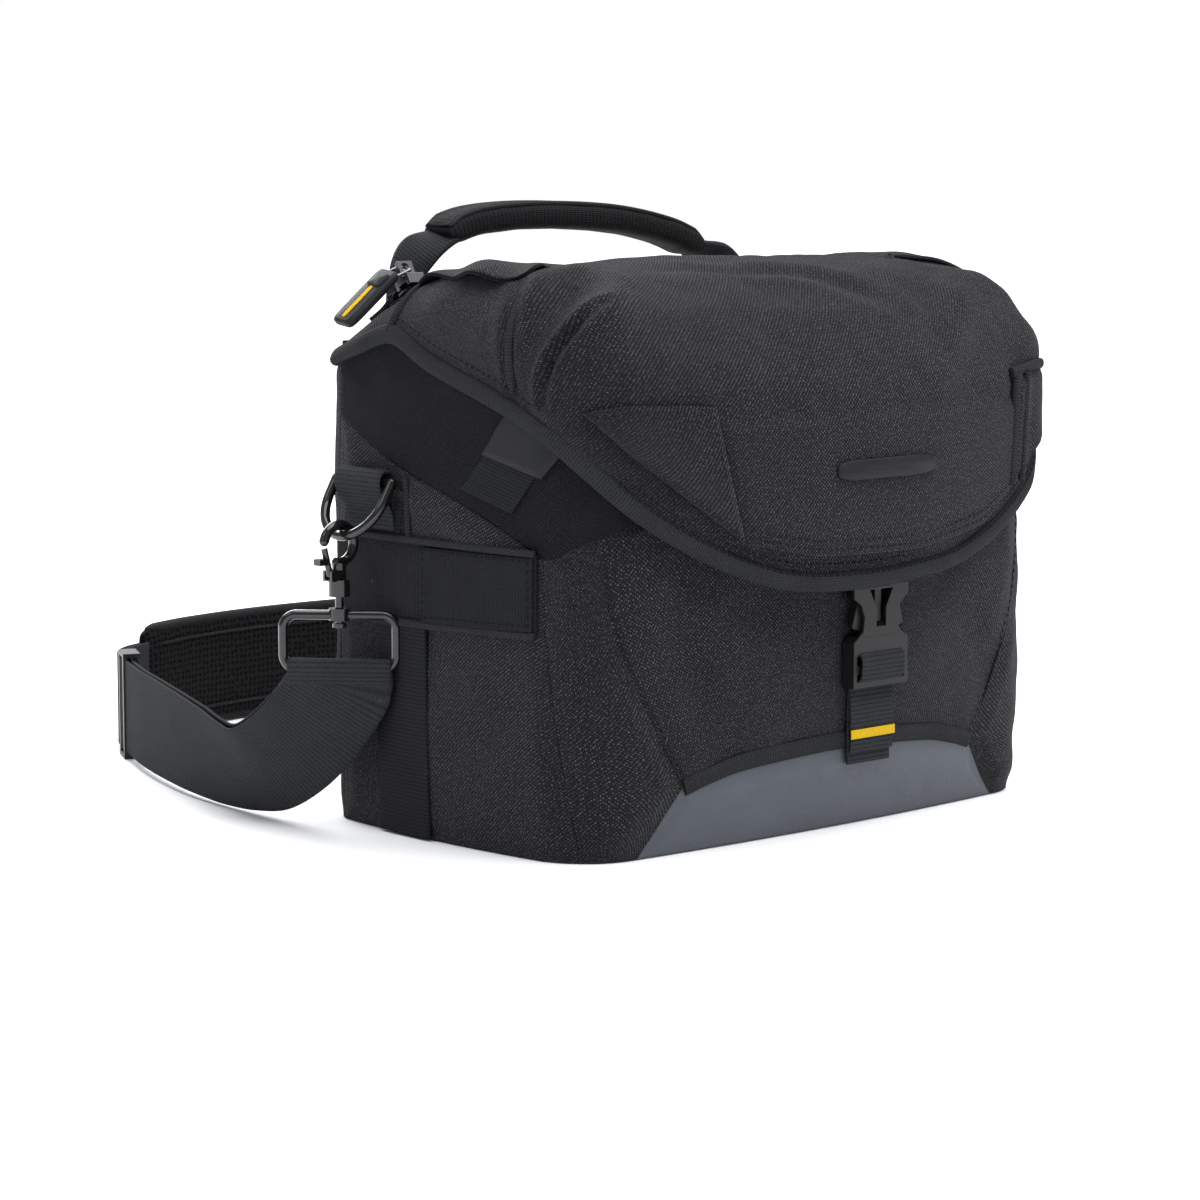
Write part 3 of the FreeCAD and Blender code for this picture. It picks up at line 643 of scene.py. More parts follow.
def dress(obj, material, body, *nodes):
    """Give a piece its material, its body and the CAD nodes it stands for."""
    obj.data.materials.clear()
    obj.data.materials.append(material)
    if body:
        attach(obj, body)
    if nodes:
        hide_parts(*nodes)


# --- cloth panels ---
def outward(grid, field):
    """Turn round a grid whose faces would look into the bag."""
    r, c = grid.shape[0] // 2, grid.shape[1] // 2
    face = np.cross(grid[r, c + 1] - grid[r, c], grid[r + 1, c] - grid[r, c])
    if face @ normals_of(field, grid[r, c]) < 0:
        return grid[:, ::-1]
    return grid


def even(grid, surface, rounds):
    """Space the grid's rows and columns evenly over the surface."""
    for _ in range(rounds):
        grid = np.stack([resample(grid[:, c], grid.shape[0]) for c in range(grid.shape[1])], 1)
        inner = np.stack([resample(grid[r], grid.shape[1]) for r in range(1, grid.shape[0] - 1)], 0)
        grid = project(np.concatenate([grid[:1], inner, grid[-1:]]), *surface)
    return grid


def raised(points, field, lift):
    """Points moved out from a surface by one height, or by a height each."""
    return points + normals_of(field, points) * np.broadcast_to(lift, points.shape[:-1])[..., None]


def cloth(name, grid, field, thick=2.0, puff=2.0, reach=14.0, wave=0.8, seed=0.0, folds=(), lift=0.0,
          turn=False):
    """A sewn panel: puffed between its seams, rippled, creased and as thick as its padding."""
    grid = outward(grid, field)
    near = step(edge_gap(grid), 0, reach)
    ripple = noise_at(grid, 36.0, seed) + 0.35 * noise_at(grid, 12.0, seed + 9)
    rise = lift + near * (puff + wave * ripple)
    for fold in folds:
        rise = rise + crease(grid, *fold)
    uv = grid_uv(grid)
    return sheet(name, raised(grid, field, rise), thick, uv=uv[..., ::-1] if turn else uv)


def patch(name, corners, n, m, lift, thick, puff=0.4, reach=4.0, turn=False):
    """A small piece with straight sides sewn on the bag's side: low-a, low-b, high-b, high-a."""
    a, b, c, d = [arr(p) for p in corners]
    grid = coons(straight(a, b, n), straight(d, c, n), straight(a, d, m), straight(b, c, m))
    grid = project(grid, *SIDE)
    return cloth(name, grid, body_field, thick=thick, puff=puff, reach=reach, wave=0.25, lift=lift,
                 turn=turn)


def on_surface(line, surface, lift=0.0, n=90, sharp=False):
    """A line laid on a surface, smoothed unless it is sharp, and lifted off it."""
    path = resample(arr(line), n) if sharp else smooth_line(line, n)
    return raised(project(path, *surface), surface[0], lift)


def tape(name, line, surface, width, height, lift=0.0, n=140, taper=0.0):
    """Binding or piping swept along a line on a surface."""
    path = on_surface(line, surface, lift, n)
    return sweep(name, path, normals_of(surface[0], path), width, height, taper)


def sewn(line, surface, lift, n, sharp=False):
    """Stitches along a line on a surface."""
    path = on_surface(line, surface, lift, n, sharp)
    return stitches(path, normals_of(surface[0], path))


# A surface is a field and the core that projection rays start from: shares of x and y, and a height.
BODY = (body_field, (0.0, 0.0, None))
SIDE = (body_field, (0.0, 1.0, None))
HOOD = (hood_field, (0.72, 0.25, 172.0))
FORWARD = (1.0, 0.0, None)
MIRROR = arr([-1, 1, 1])

SEAM = [(-157, 77, 199), (-161, 36, 180), (-162, -7, 167), (-161, -35, 157), (-158.5, -70, 141.5),
        (-152.5, -83, 147), (-144.5, -91, 150.5)]
RISE = [(-136, -95, 154.5), (-125.5, -98, 159), (-111.5, -100, 165)]
POCKET_SIDE = [(-104, -104, 32), (-119, -103, 56), (-134, -99, 86), (-142, -93, 118), (-144.5, -91, 150.5)]
ARCH = both([(-104, -104, 32), (-84, -104, 37), (-60, -104, 41)], (0, -105, 44))
TOE_SIDE = [(-132, -100, 0.5), (-124, -101, 9), (-104, -104, 32)]


def side_panel(s, tag, upright):
    """Lower side wall up to the slanted seam, with three soft folds."""
    low = smooth_line(sided([(-155, 77, 0.5), (-162, 0, 0.5), (-160, -50, 0.5), (-153, -86, 0.5)], s), 80)
    seam = smooth_line(sided(SEAM[:5], s), 80)
    folds = [(sided([(-161, 30, 168), (-162, -10, 154), (-161, -52, 140)], s), -1.6, 7.0, 0.0),
             (sided([(-161, 60, 172), (-161, 30, 140), (-162, 0, 92)], s), 1.4, 9.0, 0.5),
             (sided([(-158, -70, 88), (-160, -40, 62), (-160, -10, 50)], s), 1.8, 9.0, 0.8)]
    grid = project(coons(low, seam, straight(low[0], seam[0], 90), upright), body_field)
    wall = cloth("side_panel_" + tag, grid, body_field, thick=3.4, puff=1.9, wave=1.2, seed=s * 3 + 1,
                 folds=folds)
    dress(wall, SHELL, "bag", "side_panel_" + tag)


def front_corner(s, tag, upright):
    """Rounded corner of the body between the side panel and the pocket's slanted seam."""
    low = smooth_line(sided([(-153, -86, 0.5), (-146, -95, 0.5), (-132, -100, 0.5)], s), 50)
    high = smooth_line(sided(SEAM[4:], s), 50)
    front = resample(arr(sided(TOE_SIDE, s) + sided(POCKET_SIDE, s)[1:]), 90)
    folds = [(sided([(-150, -90, 96), (-144, -96, 66), (-130, -101, 42)], s), 1.6, 9.0, 0.8),
             (sided([(-152, -88, 34), (-140, -98, 22)], s), 1.2, 8.0, 0.5)]
    grid = project(coons(low, high, upright, front), body_field)
    corner = cloth("front_corner_" + tag, grid, body_field, thick=3.4, puff=2.2, wave=1.6, seed=s * 7 + 3,
                   folds=folds)
    dress(corner, SHELL, "bag")


def side_gusset(s, tag):
    """Knit cloth between the side seam and the hidden rim under the flap."""
    top = smooth_line(sided([(-157, 77, 224), (-160, 40, 237), (-161, 0, 238), (-160, -50, 234),
                             (-155, -88, 216), (-140, -100, 213), (-111.5, -104, 212)], s), 110)
    under = smooth_line(sided(SEAM + RISE, s), 110)
    grid = project(coons(under, top, *ends(under, top, 60)), body_field)
    folds = [(sided([(-162, 20, 214), (-162, -20, 190), (-160, -60, 164)], s), 1.3, 10.0, 0.8),
             (sided([(-161, 60, 218), (-162, 20, 196), (-162, -10, 180)], s), 1.0, 8.0, 0.6)]
    upper = cloth("side_gusset_" + tag, grid, body_field, thick=3.0, puff=1.6, reach=22, wave=0.9,
                  seed=s * 5 + 2, folds=folds)
    dress(upper, KNIT, "bag", "side_gusset_" + tag)


def side_walls(s, tag):
    """One side of the body: its panel, its front corner and its gusset."""
    upright = smooth_line(sided([(-153, -86, 0.5), (-157, -78, 50), (-159, -72, 100), (-158, -69, 141)], s),
                          90)
    side_panel(s, tag, upright)
    front_corner(s, tag, upright)
    side_gusset(s, tag)


def rear_wall():
    """Back panel round to both rear corners, and the binding along its top."""
    line = [(-157, 77), (-155, 86), (-140, 91), (0, 91), (140, 91), (155, 86), (157, 77)]
    low = smooth_line([(x, y, 0.5) for x, y in line], 150)
    high = smooth_line([(x, y, 227) for x, y in line], 150)
    grid = project(coons(low, high, *ends(low, high, 90)), body_field)
    folds = [([(-120, 93, 60), (-40, 93, 40), (60, 93, 52)], 1.0, 14.0, 0.6)]
    back = cloth("back_panel", grid, body_field, thick=3.4, puff=1.8, wave=1.6, seed=11, folds=folds)
    dress(back, SHELL, "bag", "back_panel")
    rim = tape("rear_binding", [(x, y, 226.6) for x, y in line], BODY, 6.0, 3.0, lift=-0.4)
    dress(rim, BINDING, "bag")


def hinge_cloth():
    """Cloth strip that joins the back panel to the flap."""
    half, low, tall = 146, 219, 14.6
    xs = np.linspace(-half, half, 90)
    rows = [[(x, 92.9 - 1.4 * abs(x / half) ** 6 - 0.8 * t ** 4, low + tall * t) for x in xs]
            for t in np.linspace(0, 1, 14)]
    strip = sheet("flap_hinge_cloth", outward(arr(rows), body_field), 1.2)
    dress(strip, SHELL, None)
    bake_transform(strip)


def front_pocket():
    """Pocket cloth from the bound arch up under the flap, with its creases."""
    left = resample(arr(POCKET_SIDE + RISE + [(-111.5, -104, 221)]), 110)
    low = smooth_line(ARCH, 150)
    high = smooth_line(both([(-111.5, -104, 221), (-60, -105, 221)], (0, -106, 221)), 150)
    grid = even(project(coons(low, high, left, left * MIRROR), body_field), BODY, 1)
    folds = [([(-70, -104, 50), (-98, -103, 84), (-108, -102, 126)], 1.5, 12.0, 0.9),
             ([(120, -102, 60), (96, -103, 92), (70, -104, 118)], 1.3, 11.0, 0.8),
             ([(-30, -105, 52), (-62, -104, 78), (-84, -104, 92)], 1.0, 9.0, 0.6)]
    pocket = cloth("front_pocket", grid, body_field, thick=2.4, puff=1.3, reach=18, wave=1.3, seed=21,
                   folds=folds)
    dress(pocket, SHELL, "bag", "front_pocket", "front_panel")


def toe_panel():
    """Coated panel below the pocket's arch, and the arch's binding."""
    side = resample(arr(TOE_SIDE), 30)
    base = smooth_line(both([(-132, -100, 0.5), (-60, -105, 0.5)], (0, -106, 0.5)), 150)
    grid = project(coons(base, smooth_line(ARCH, 150), side, side * MIRROR), body_field)
    toe = cloth("toe_panel", grid, body_field, thick=2.0, puff=2.6, reach=12, wave=0.7, seed=31)
    dress(toe, TARP, "bag", "toe_panel")
    band = tape("pocket_binding", ARCH, BODY, 8.5, 3.0, lift=0.6, n=160)
    dress(band, BINDING, "bag", "pocket_binding")


def base_slab():
    """Flat padded base inside the walls, with its edge turned in."""
    turn = turns(120)
    ring = np.stack([HALF_W * np.cos(turn), 95 * np.sin(turn), np.full(120, 3.0)], 1)
    ring = project(ring, body_field, level=-3.0)
    rows = [ring * arr([k, k, 0]) + arr([0, 0, z])
            for k, z in ((0.02, 0.8), (0.5, 0.6), (0.96, 0.3), (0.99, 0.9), (1.0, 3.0), (0.99, 4.6),
                         (0.96, 5.0), (0.5, 5.2), (0.02, 5.2))]
    grid = arr(rows)
    obj = make_mesh("base_panel", grid, grid_faces(len(rows), 120, wrap=True), grid[..., :2])
    dress(obj, SHELL, "bag", "base_panel")


# --- flap ---
SKIRT = [(-161, -94, 190), (-147, -103, 174), (-131, -108, 161), (-112, -113, 149), (-92, -117, 139),
         (-70, -120, 131), (-46, -122, 126), (0, -124, 124), (31, -124, 125), (62, -121, 128),
         (93, -117, 136), (118, -111, 147), (136, -106, 158), (150, -101, 172), (161, -94, 190)]
WING = [(-161, -94, 190), (-164, -49, 210), (-165, -1, 226), (-164, RIDGE_Y, 240)]
RIDGE = both([(-164, RIDGE_Y, 240), (-160, RIDGE_Y, 258), (-140, RIDGE_Y, 264)], (0, RIDGE_Y, 264))
REAR_SIDE = [(-160, 91, 231.5), (-163, 60, 236), (-164, RIDGE_Y, 240)]
WING_SEAM = [(-163.7, -55, 216), (-163.8, -52.4, 231.5), (-162.5, -51.6, 245), (-154.5, -48.3, 258.3),
             (-142, -38, 265), (-123, -25, 269.5)]


def flap_sheet():
    """The flap's top, front and wings in one piece of cloth."""
    left = smooth_line(WING, 150)
    grid = coons(smooth_line(SKIRT, 190), smooth_line(RIDGE, 190), left, left * MIRROR)
    grid = even(project(grid, *HOOD), HOOD, 3)
    folds = [(WING_SEAM, 1.6, 3.2, 0.8), (sided(WING_SEAM, -1), 1.6, 3.2, 0.8),
             ([(-137, -83, 254), (-152, -83, 246), (-160, -79, 235), (-162, -75, 223), (-162, -73, 213)],
              4.6, 2.4, 3.4),
             ([(-126, -58, 264), (-144, -66, 256), (-156, -69, 243)], 8.0, 9.5, 2.4),
             ([(-106, -60, 265), (-122, -78, 258), (-136, -92, 246)], -3.2, 6.5, 0.0),
             ([(-98, -36, 269), (-122, -42, 266), (-140, -48, 260)], -2.4, 6.0, 0.0),
             ([(-60, -45, 268), (10, -62, 264), (42, -92, 253)], 2.2, 8.0, 1.4),
             ([(104, -66, 263), (76, -92, 252), (50, -112, 236)], 2.0, 8.0, 1.2),
             ([(150, -60, 256), (128, -40, 268), (96, -10, 272)], 2.4, 12.0, 1.4),
             ([(158, -70, 240), (140, -88, 246), (120, -96, 250)], 2.0, 12.0, 1.2),
             ([(-100, -20, 271), (-30, -34, 271), (50, -28, 271)], 1.2, 16.0, 0.8),
             ([(-128, 20, 266), (-122, -10, 270), (-116, -40, 270)], 1.6, 10.0, 1.0),
             ([(150, -84, 216), (130, -108, 206), (112, -116, 186)], 1.4, 10.0, 1.0)]
    main = cloth("flap_sheet", grid, hood_field, thick=3.0, puff=1.6, reach=16, wave=1.9, seed=41,
                 folds=folds)
    dress(main, SHELL, "flap", "flap_top_panel", "flap_front_panel", "flap_wing_left", "flap_wing_right")


def flap_rear():
    """Rear slope of the flap, from the hinge line to the ridge."""
    low = smooth_line(both([(-160, DEPTH, 231.5), (-120, DEPTH, REAR_LOW)], (0, DEPTH, REAR_LOW)), 170)
    side = smooth_line(REAR_SIDE, 40)
    grid = project(coons(low, smooth_line(RIDGE, 170), side, side * MIRROR), *HOOD)
    rear = cloth("flap_rear_panel", grid, hood_field, thick=3.0, puff=0.3, reach=10, wave=0.3, seed=51)
    dress(rear, SHELL, "flap", "flap_rear_panel")


def flap_edges():
    """Piping on the ridge, bound lower edge, and the wings' bound seams."""
    cord = tape("ridge", RIDGE, HOOD, 4.2, 4.2, lift=0.8)
    rear = [(-160, 90, 232)] + REAR_SIDE[1:-1]
    rim = rear + WING[::-1] + SKIRT[1:-1] + sided(WING, -1) + sided(rear, -1)[::-1]
    bound = tape("rim", rim, HOOD, 9.5, 6.4, lift=-0.4, n=460)
    dress(join("flap_binding", [cord, bound]), BINDING, "flap")
    seams = [tape("wing", sided(WING_SEAM, s), HOOD, 4.2, 2.6, lift=1.5, n=90, taper=5) for s in (1, -1)]
    dress(join("wing_seams", seams), BINDING, "flap")


def flap_face():
    """The folded upper sheet on the flap's front and its corner patch."""
    low = straight((-82, -119, 146), (-140, -104, 190), 60)
    high = straight((-97, -116, 211), (-158, -96, 212), 60)
    grid = project(coons(low, high, *ends(low, high, 60)), *HOOD)
    left = cloth("flap_patch_left", grid, hood_field, thick=1.9, puff=1.2, reach=5, wave=0.5, seed=61,
                 lift=np.linspace(6.2, 3.8, 60)[:, None])
    dress(left, SHELL, "flap", "flap_patch_left")
    low = resample(arr([(-82, -119, 146), (-40, -123, 138), (30, -125, 136), (80, -119, 143),
                        (124, -110, 164)]), 130)
    high = resample(arr([(-97, -117, 211), (0, -125, 214), (124, -111, 214)]), 130)
    grid = outward(project(coons(low, high, *ends(low, high, 60)), *HOOD), hood_field)
    z = grid[..., 2]
    near = step(edge_gap(grid), 0, 6)
    swell = (-2.0 + 6.2 * np.clip((214 - z) / 16, 0, 1) + 2.2 * step(z, 168, 140)
             + near * (0.9 + 0.5 * noise_at(grid, 30, 71.0)))
    over = sheet("flap_overlay", raised(grid, hood_field, swell), 1.9, uv=grid_uv(grid))
    dress(over, SHELL, "flap", "flap_overlay")


def flap_stitching():
    """Stitch rows on the flap's patch, along its lower edge and along its wings."""
    rows = [([(-86, -119, 149), (-100, -116, 208.5)], 6.0, True),
            ([(-100, -116, 208.5), (-154, -98, 209.5)], 5.4, True),
            ([(-80, -119, 149), (-40, -123, 141), (30, -125, 139), (80, -119, 146), (122, -110, 166)],
             6.9, True),
            ([(-80, -119, 153), (-40, -123, 145), (30, -125, 143), (80, -119, 150), (120, -110, 169)],
             7.0, True),
            ([(-160, 33, 247), (-163, -1, 233), (-162, -49, 217), (-160, -92, 197)], 1.0, False)]
    threads = [sewn(line, HOOD, lift, 120, sharp) for line, lift, sharp in rows]
    for up, lift in ((3.4, 2.3), (8.5, 0.9)):
        threads.append(sewn([(x * 0.985, y, z + up) for x, y, z in SKIRT[1:-1]], HOOD, lift, 260))
    for s in (1, -1):
        threads.append(sewn([(s * x, y + 5.0, z) for x, y, z in WING_SEAM], HOOD, 1.9, 80))
    dress(join("flap_stitching", threads), THREAD, "flap")


def ear():
    """Corner of the flap folded up and sewn down on the right, bound along both edges."""
    low = resample(arr([(112, -115, 160), (126, -110, 164), (141, -104, 180)]), 40)
    high = resample(arr([(117, -114, 217), (138, -106, 219), (158, -97, 220)]), 40)
    far = smooth_line([low[-1], (158, -97, 196), high[-1]], 60)
    grid = project(coons(low, high, straight(low[0], high[0], 60), far), *HOOD)
    folds = [([(128, -110, 168), (132, -108, 192), (136, -106, 216)], 1.4, 6.0, 0.8)]
    flap = cloth("flap_ear_right", grid, hood_field, thick=3.0, puff=2.0, reach=6, wave=0.8, seed=81,
                 lift=3.4, folds=folds)
    dress(flap, SHELL, "flap", "flap_ear_right")
    tapes = [([(112, -115, 160), (115, -114, 188), (117, -114, 218)], 6.0, 4.4, 4.4),
             ([(121, -112, 162), (124, -112, 190), (126, -111, 218)], 4.0, 3.2, 5.6),
             ([(112, -115, 218), (136, -107, 220), (160, -96, 221)], 5.0, 4.0, 4.0)]
    edges = [tape("edge", line, HOOD, wide, high, lift=lift) for line, wide, high, lift in tapes]
    dress(join("flap_ear_edges", edges), BINDING, "flap")


def badge():
    """Plain rounded relief badge in the middle of the flap's front."""
    x, z, half_x, half_z = 6, 177, 34, 4.8
    spread = rounded(turns(64), 0.35)[0]
    rise = rounded(turns(64), 0.6)[1]
    rows = []
    for k, lift in ((1.0, 4.0), (1.0, 6.1), (0.97, 6.7), (0.9, 7.0), (0.4, 7.1), (0.02, 7.1)):
        edge = 4.6 * (1 - k)
        shrink = k if k < 0.5 else 1
        ring = np.stack([x + (half_x - edge) * spread * shrink, np.full(64, -120.0),
                         z + (half_z - edge) * rise * shrink], 1)
        rows.append(raised(project(ring, hood_field, FORWARD), hood_field, lift))
    grid = arr(rows)
    obj = make_mesh("flap_badge", grid, grid_faces(len(rows), 64, wrap=True), grid[..., [0, 2]])
    dress(obj, RUBBER, "flap", "flap_badge")


def slope_point(x, y, lift=0.0):
    """Point on the flap's rear slope, raised square to it."""
    k = lift / math.hypot(1, REAR_SLOPE)
    return (x, y + REAR_SLOPE * k, REAR_LOW + (DEPTH - y) * REAR_SLOPE + k)


def zip_tape():
    """Tape of the zip, laid along the flap's rear slope."""
    xs = np.linspace(-153, 140, 130)
    rows = [[slope_point(x, y, lift) for x in xs]
            for y, lift in ((50, 0.5), (44, 0.8), (38, 0.8), (32, 0.5))]
    grid = raised(outward(project(arr(rows), *HOOD), hood_field), hood_field, 0.9)
    dress(sheet("zip_tape", grid, 0.8), WEB, "flap", "zip_tape")


def zip_coil():
    """Teeth staggered along the tape, dropping with the flap's rounded ends."""
    count, pitch, first = 182, 1.55, -149
    bend, radius = 136, 27
    tooth = [(38.6, 1.2), (38.6, 2.4), (43.4, 2.4), (43.4, 1.2)]
    verts, faces = [], []
    for i in range(count):
        x = first + i * pitch
        side = 0.5 if i % 2 else -0.5
        k = len(verts)
        for dx, grow in ((-0.5, 0.0), (-0.2, 0.35), (0.2, 0.35), (0.5, 0.0)):
            verts += [slope_point(x + dx, y + side + (0.2 if y > 41 else -0.2) * grow, up + grow)
                      for y, up in tooth]
        faces += grid_faces(4, 4, wrap=True, start=k)
        faces += [(k + 3, k + 2, k + 1, k), (k + 12, k + 13, k + 14, k + 15)]
    verts = arr(verts)
    past = np.clip(np.abs(verts[:, 0]) - bend, 0, radius - 1)
    verts[:, 2] -= radius - np.sqrt(radius ** 2 - past ** 2)
    dress(make_mesh("zip_coil", verts, faces), PLASTIC, "flap", "zip_coil")


def garage_rows():
    """Rows of the garage flap from its wavy free edge to its seam on the rear slope."""
    xs = np.linspace(-150, -72, 60)
    edge = 45.5 + 2.2 * np.sin(xs / 9.0) + 2.5 * np.cos((xs + 112) / 26)
    rows = []
    for t in np.linspace(0, 1, 26):
        y = edge * (1 - t) + 67 * t
        roll = np.exp(-((t - 0.12) / 0.3) ** 2) * (1 - 0.3 * t)
        lift = 1.2 + 7.0 * roll * (0.75 + 0.25 * np.sin(xs / 11.0))
        lift = lift * step(xs, -156, -140) * (1 - 0.6 * step(xs, -84, -72)) + 0.6
        row = project(arr([slope_point(a, b) for a, b in zip(xs, y)]), *HOOD)
        rows.append(raised(row, hood_field, lift))
    return arr(rows)


def zip_garage():
    """Cloth hood over the zip's end, its wavy lip on the left shoulder, and its stitching."""
    rows = garage_rows()
    shed = sheet("shed", outward(rows, hood_field), 1.8, 0.0)
    front = smooth_line([(-149, 30, 264), (-151, 10, 264.5), (-153, -12, 263.5), (-152, -32, 262.5),
                         (-144, -41, 265), (-126, -34, 269)], 90)
    back = smooth_line([(-138, 34, 264), (-118, 33, 268), (-99, 24, 270), (-98, 4, 270), (-106, -14, 270),
                        (-118, -27, 270)], 90)
    grid = project(coons(front, back, *ends(front, back, 30)), *HOOD)
    t = np.linspace(0, 1, 90)[None, :]
    free = 1 - np.linspace(0, 1, 30)[:, None]
    lift = 0.6 + 2.2 * free ** 0.3 + (3.2 + 2.4 * np.sin(t * 15)) * free ** 1.6 * np.sin(np.pi * t) ** 0.5
    lip = sheet("lip", outward(raised(grid, hood_field, lift), hood_field), 1.6, 0.0)
    dress(join("zip_garage", [shed, lip]), SHELL, "flap", "zip_garage")
    threads = [stitches(rows[k], arr([0, 0.46, 0.88]), lift=1.3) for k in (2, 4)]
    dress(join("garage_stitching", threads), THREAD, "flap")


PULL_PIN = (-144.0, 46.21, 269.71)
PULL_ALONG = (-0.727, 0.160, -0.669)
PULL_AXIS = (0.118, 0.987, 0.108)


def tab_plate(name, centre, half, radius):
    """Rounded plate in the pull's own axes: across it, along it and out of its face."""
    along = unit(arr(PULL_ALONG))
    face = unit(np.cross(arr(PULL_AXIS), along))
    across = np.cross(along, face)
    edge = np.stack(rounded(turns(48), 0.3), 1)
    rows = []
    for k, z in ((0.01, -1), (1 - radius, -1), (1, -0.6), (1, 0.6), (1 - radius, 1), (0.01, 1)):
        size = arr(half[:2]) if k == 1 else arr(half[:2]) - (radius * 8 if k > 0.5 else 0)
        size = size * (k if k < 0.5 else 1)
        height = np.full((48, 1), centre[2] + z * half[2])
        rows.append(np.concatenate([edge * size + arr(centre[:2]), height], 1))
    p = arr(rows)
    placed = arr(PULL_PIN) + p[..., :1] * across + p[..., 1:2] * along + p[..., 2:] * face
    return make_mesh(name, placed, grid_faces(len(rows), 48, wrap=True), p[..., :2])


def zip_tab():
    """Moulded rubber tab with a raised block and a plain yellow stripe."""
    tab = join("zip_tab", [tab_plate("plate", (0, 24.5, 3.8), (8, 18, 1.8), 0.06),
                           tab_plate("block", (0, 14, 5.9), (5.6, 4.2, 1.0), 0.06),
                           tab_plate("rim", (0, 28.5, 5.7), (6.2, 12.8, 0.25), 0.04)])
    dress(tab, RUBBER, "zip_pull", "zip_tab")
    stripe = tab_plate("tab_stripe", (0, 29, 6.1), (1.3, 10.5, 0.3), 0.04)
    dress(stripe, YELLOW, "zip_pull")
    for piece in (tab, stripe):
        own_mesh(piece)


# --- handle ---
def puffed_tube(name, path, across, width, thick, rows, sides, soft=3.2, seed=0.0, wave=0.5, cap=10.0):
    """Stuffed tube with a rounded box section and closed, rounded ends."""
    path = smooth_line(path, rows)
    across, normal = band_frames(path, across)
    cx, cz = rounded(turns(sides), 2 / soft)
    cx = cx * width / 2
    cz = cz * thick / 2
    s = lengths(path)
    end = np.minimum(s, s[-1] - s)
    grow = np.sqrt(np.clip(1 - (1 - np.clip(end / cap, 0.02, 1)) ** 2, 0, 1))
    wide = 0.82 + 0.18 * grow
    rings = (path[:, None] + across[:, None] * cx[None, :, None] * wide[:, None, None]
             + normal[:, None] * cz[None, :, None] * grow[:, None, None])
    rings = rings + unit(rings - path[:, None]) * (wave * noise_at(rings, 16.0, seed))[..., None]
    return tube(name, rings, lengths(np.stack([cx, cz], 1)), s)


GRIP = [(-74, 283.5), (-50, 289.5), (-10, 291.5), (40, 289), (80, 282), (105, 273)]
LEFT_LEG = [(-102, 233), (-103, 246), (-101, 258), (-96, 268), (-85, 277), (-66, 284)]
RIGHT_LEG = [(133, 233), (134, 246), (132, 255), (126, 262), (114, 269), (97, 275)]


def handle_grip():
    """Padded grip of mesh, with a woven strip along its top and piping beside the strip."""
    line = [(x, 103.4, z) for x, z in GRIP]
    grip = puffed_tube("handle_grip", line, (0, 1, 0), 24, 14, 110, 40, seed=91, wave=0.5)
    dress(grip, HANDLE_MESH, "handle", "handle_grip")
    path = smooth_line([(x, 103.4, z + 6.9) for x, z in GRIP], 110)
    path[:6, 2] -= np.linspace(3, 0, 6)
    path[-6:, 2] -= np.linspace(0, 3, 6)
    top = ribbon("grip_strip", path, (0, 1, 0), 18, 1.8, bow=-0.6)
    dress(top, SHELL_FINE, "handle")
    edges = [sweep("edge", path + arr([0, side * 9.4, -0.6]), (0, side * 0.5, 1), 2.6, 2.2, taper=6)
             for side in (-1, 1)]
    dress(join("grip_piping", edges), BINDING, "handle")


def handle_legs():
    """Webbing legs that turn flat into the grip, and their sewn feet on the flap."""
    across_bag = arr([0, 1, 0])
    legs = []
    for line in (LEFT_LEG, RIGHT_LEG):
        path = smooth_line([(x, 95.0 + 7.5 * k / 5, z) for k, (x, z) in enumerate(line)], 80)
        side = unit(np.cross(np.gradient(path, axis=0), across_bag))
        turn = step(np.linspace(0, 1, 80)[:, None], 0.35, 0.95) * 1.35
        legs.append(ribbon("leg", path, side * np.cos(turn) + across_bag * np.sin(turn), 20, 3.2))
    dress(join("handle_web", legs), WEB, "handle", "handle_web")
    feet = []
    for x in (LEFT_LEG[0][0], RIGHT_LEG[0][0]):
        path = arr([(x, 93.9, 230.6), (x, 93.5, 234), (x, 93.3, 239), (x, 93.6, 246)])
        feet.append(ribbon("foot", resample(path, 16), (1, 0, 0), 26, 1.4))
    dress(join("handle_anchors", feet), WEB, "flap", "handle_anchors")


# --- front buckle webbing ---
def buckle_ribbon(name, steps, n, thick, width=30, curve=smooth_line):
    """Webbing in the buckle's upright plane; each step is a depth off its back and a height."""
    path = curve(arr([(BUCKLE_X, BUCKLE_BACK + y, z) for y, z in steps]), n)
    return ribbon(name, path, (1, 0, 0), width, thick)


def front_webbing():
    """Buckle webbing: the sewn run, its fold through the ladder, the tail, keeper and plug stub."""
    layers = [buckle_ribbon("down", [(-4.6, 79), (-1.6, 73.5), (0.2, 66), (0.6, 50), (0.4, 32)], 60, 1.7),
              buckle_ribbon("over", [(-1.4, 88), (-5.6, 87.2), (-9.0, 84.5), (-9.2, 79), (-8.4, 74.6),
                                     (-4.6, 71.8), (-0.8, 72.5)], 50, 1.6),
              buckle_ribbon("tail", [(-0.4, 71), (-1.6, 60), (-1.7, 46), (-1.5, 38)], 40, 1.7)]
    dress(join("buckle_web", layers), WEB, "bag", "buckle_web")
    keeper = buckle_ribbon("web_keeper", [(-2.9, 44.6), (-2.9, 49)], 6, 0.7, 31, resample)
    dress(keeper, YELLOW, "bag", "web_keeper")
    stub = buckle_ribbon("plug_web", [(-0.6, 128.5), (-4.2, 127.4), (-8.2, 129.5), (-8.4, 134), (-5.0, 139),
                                      (-3.8, 150)], 50, 1.6)
    dress(stub, WEB, "plug", "plug_web")


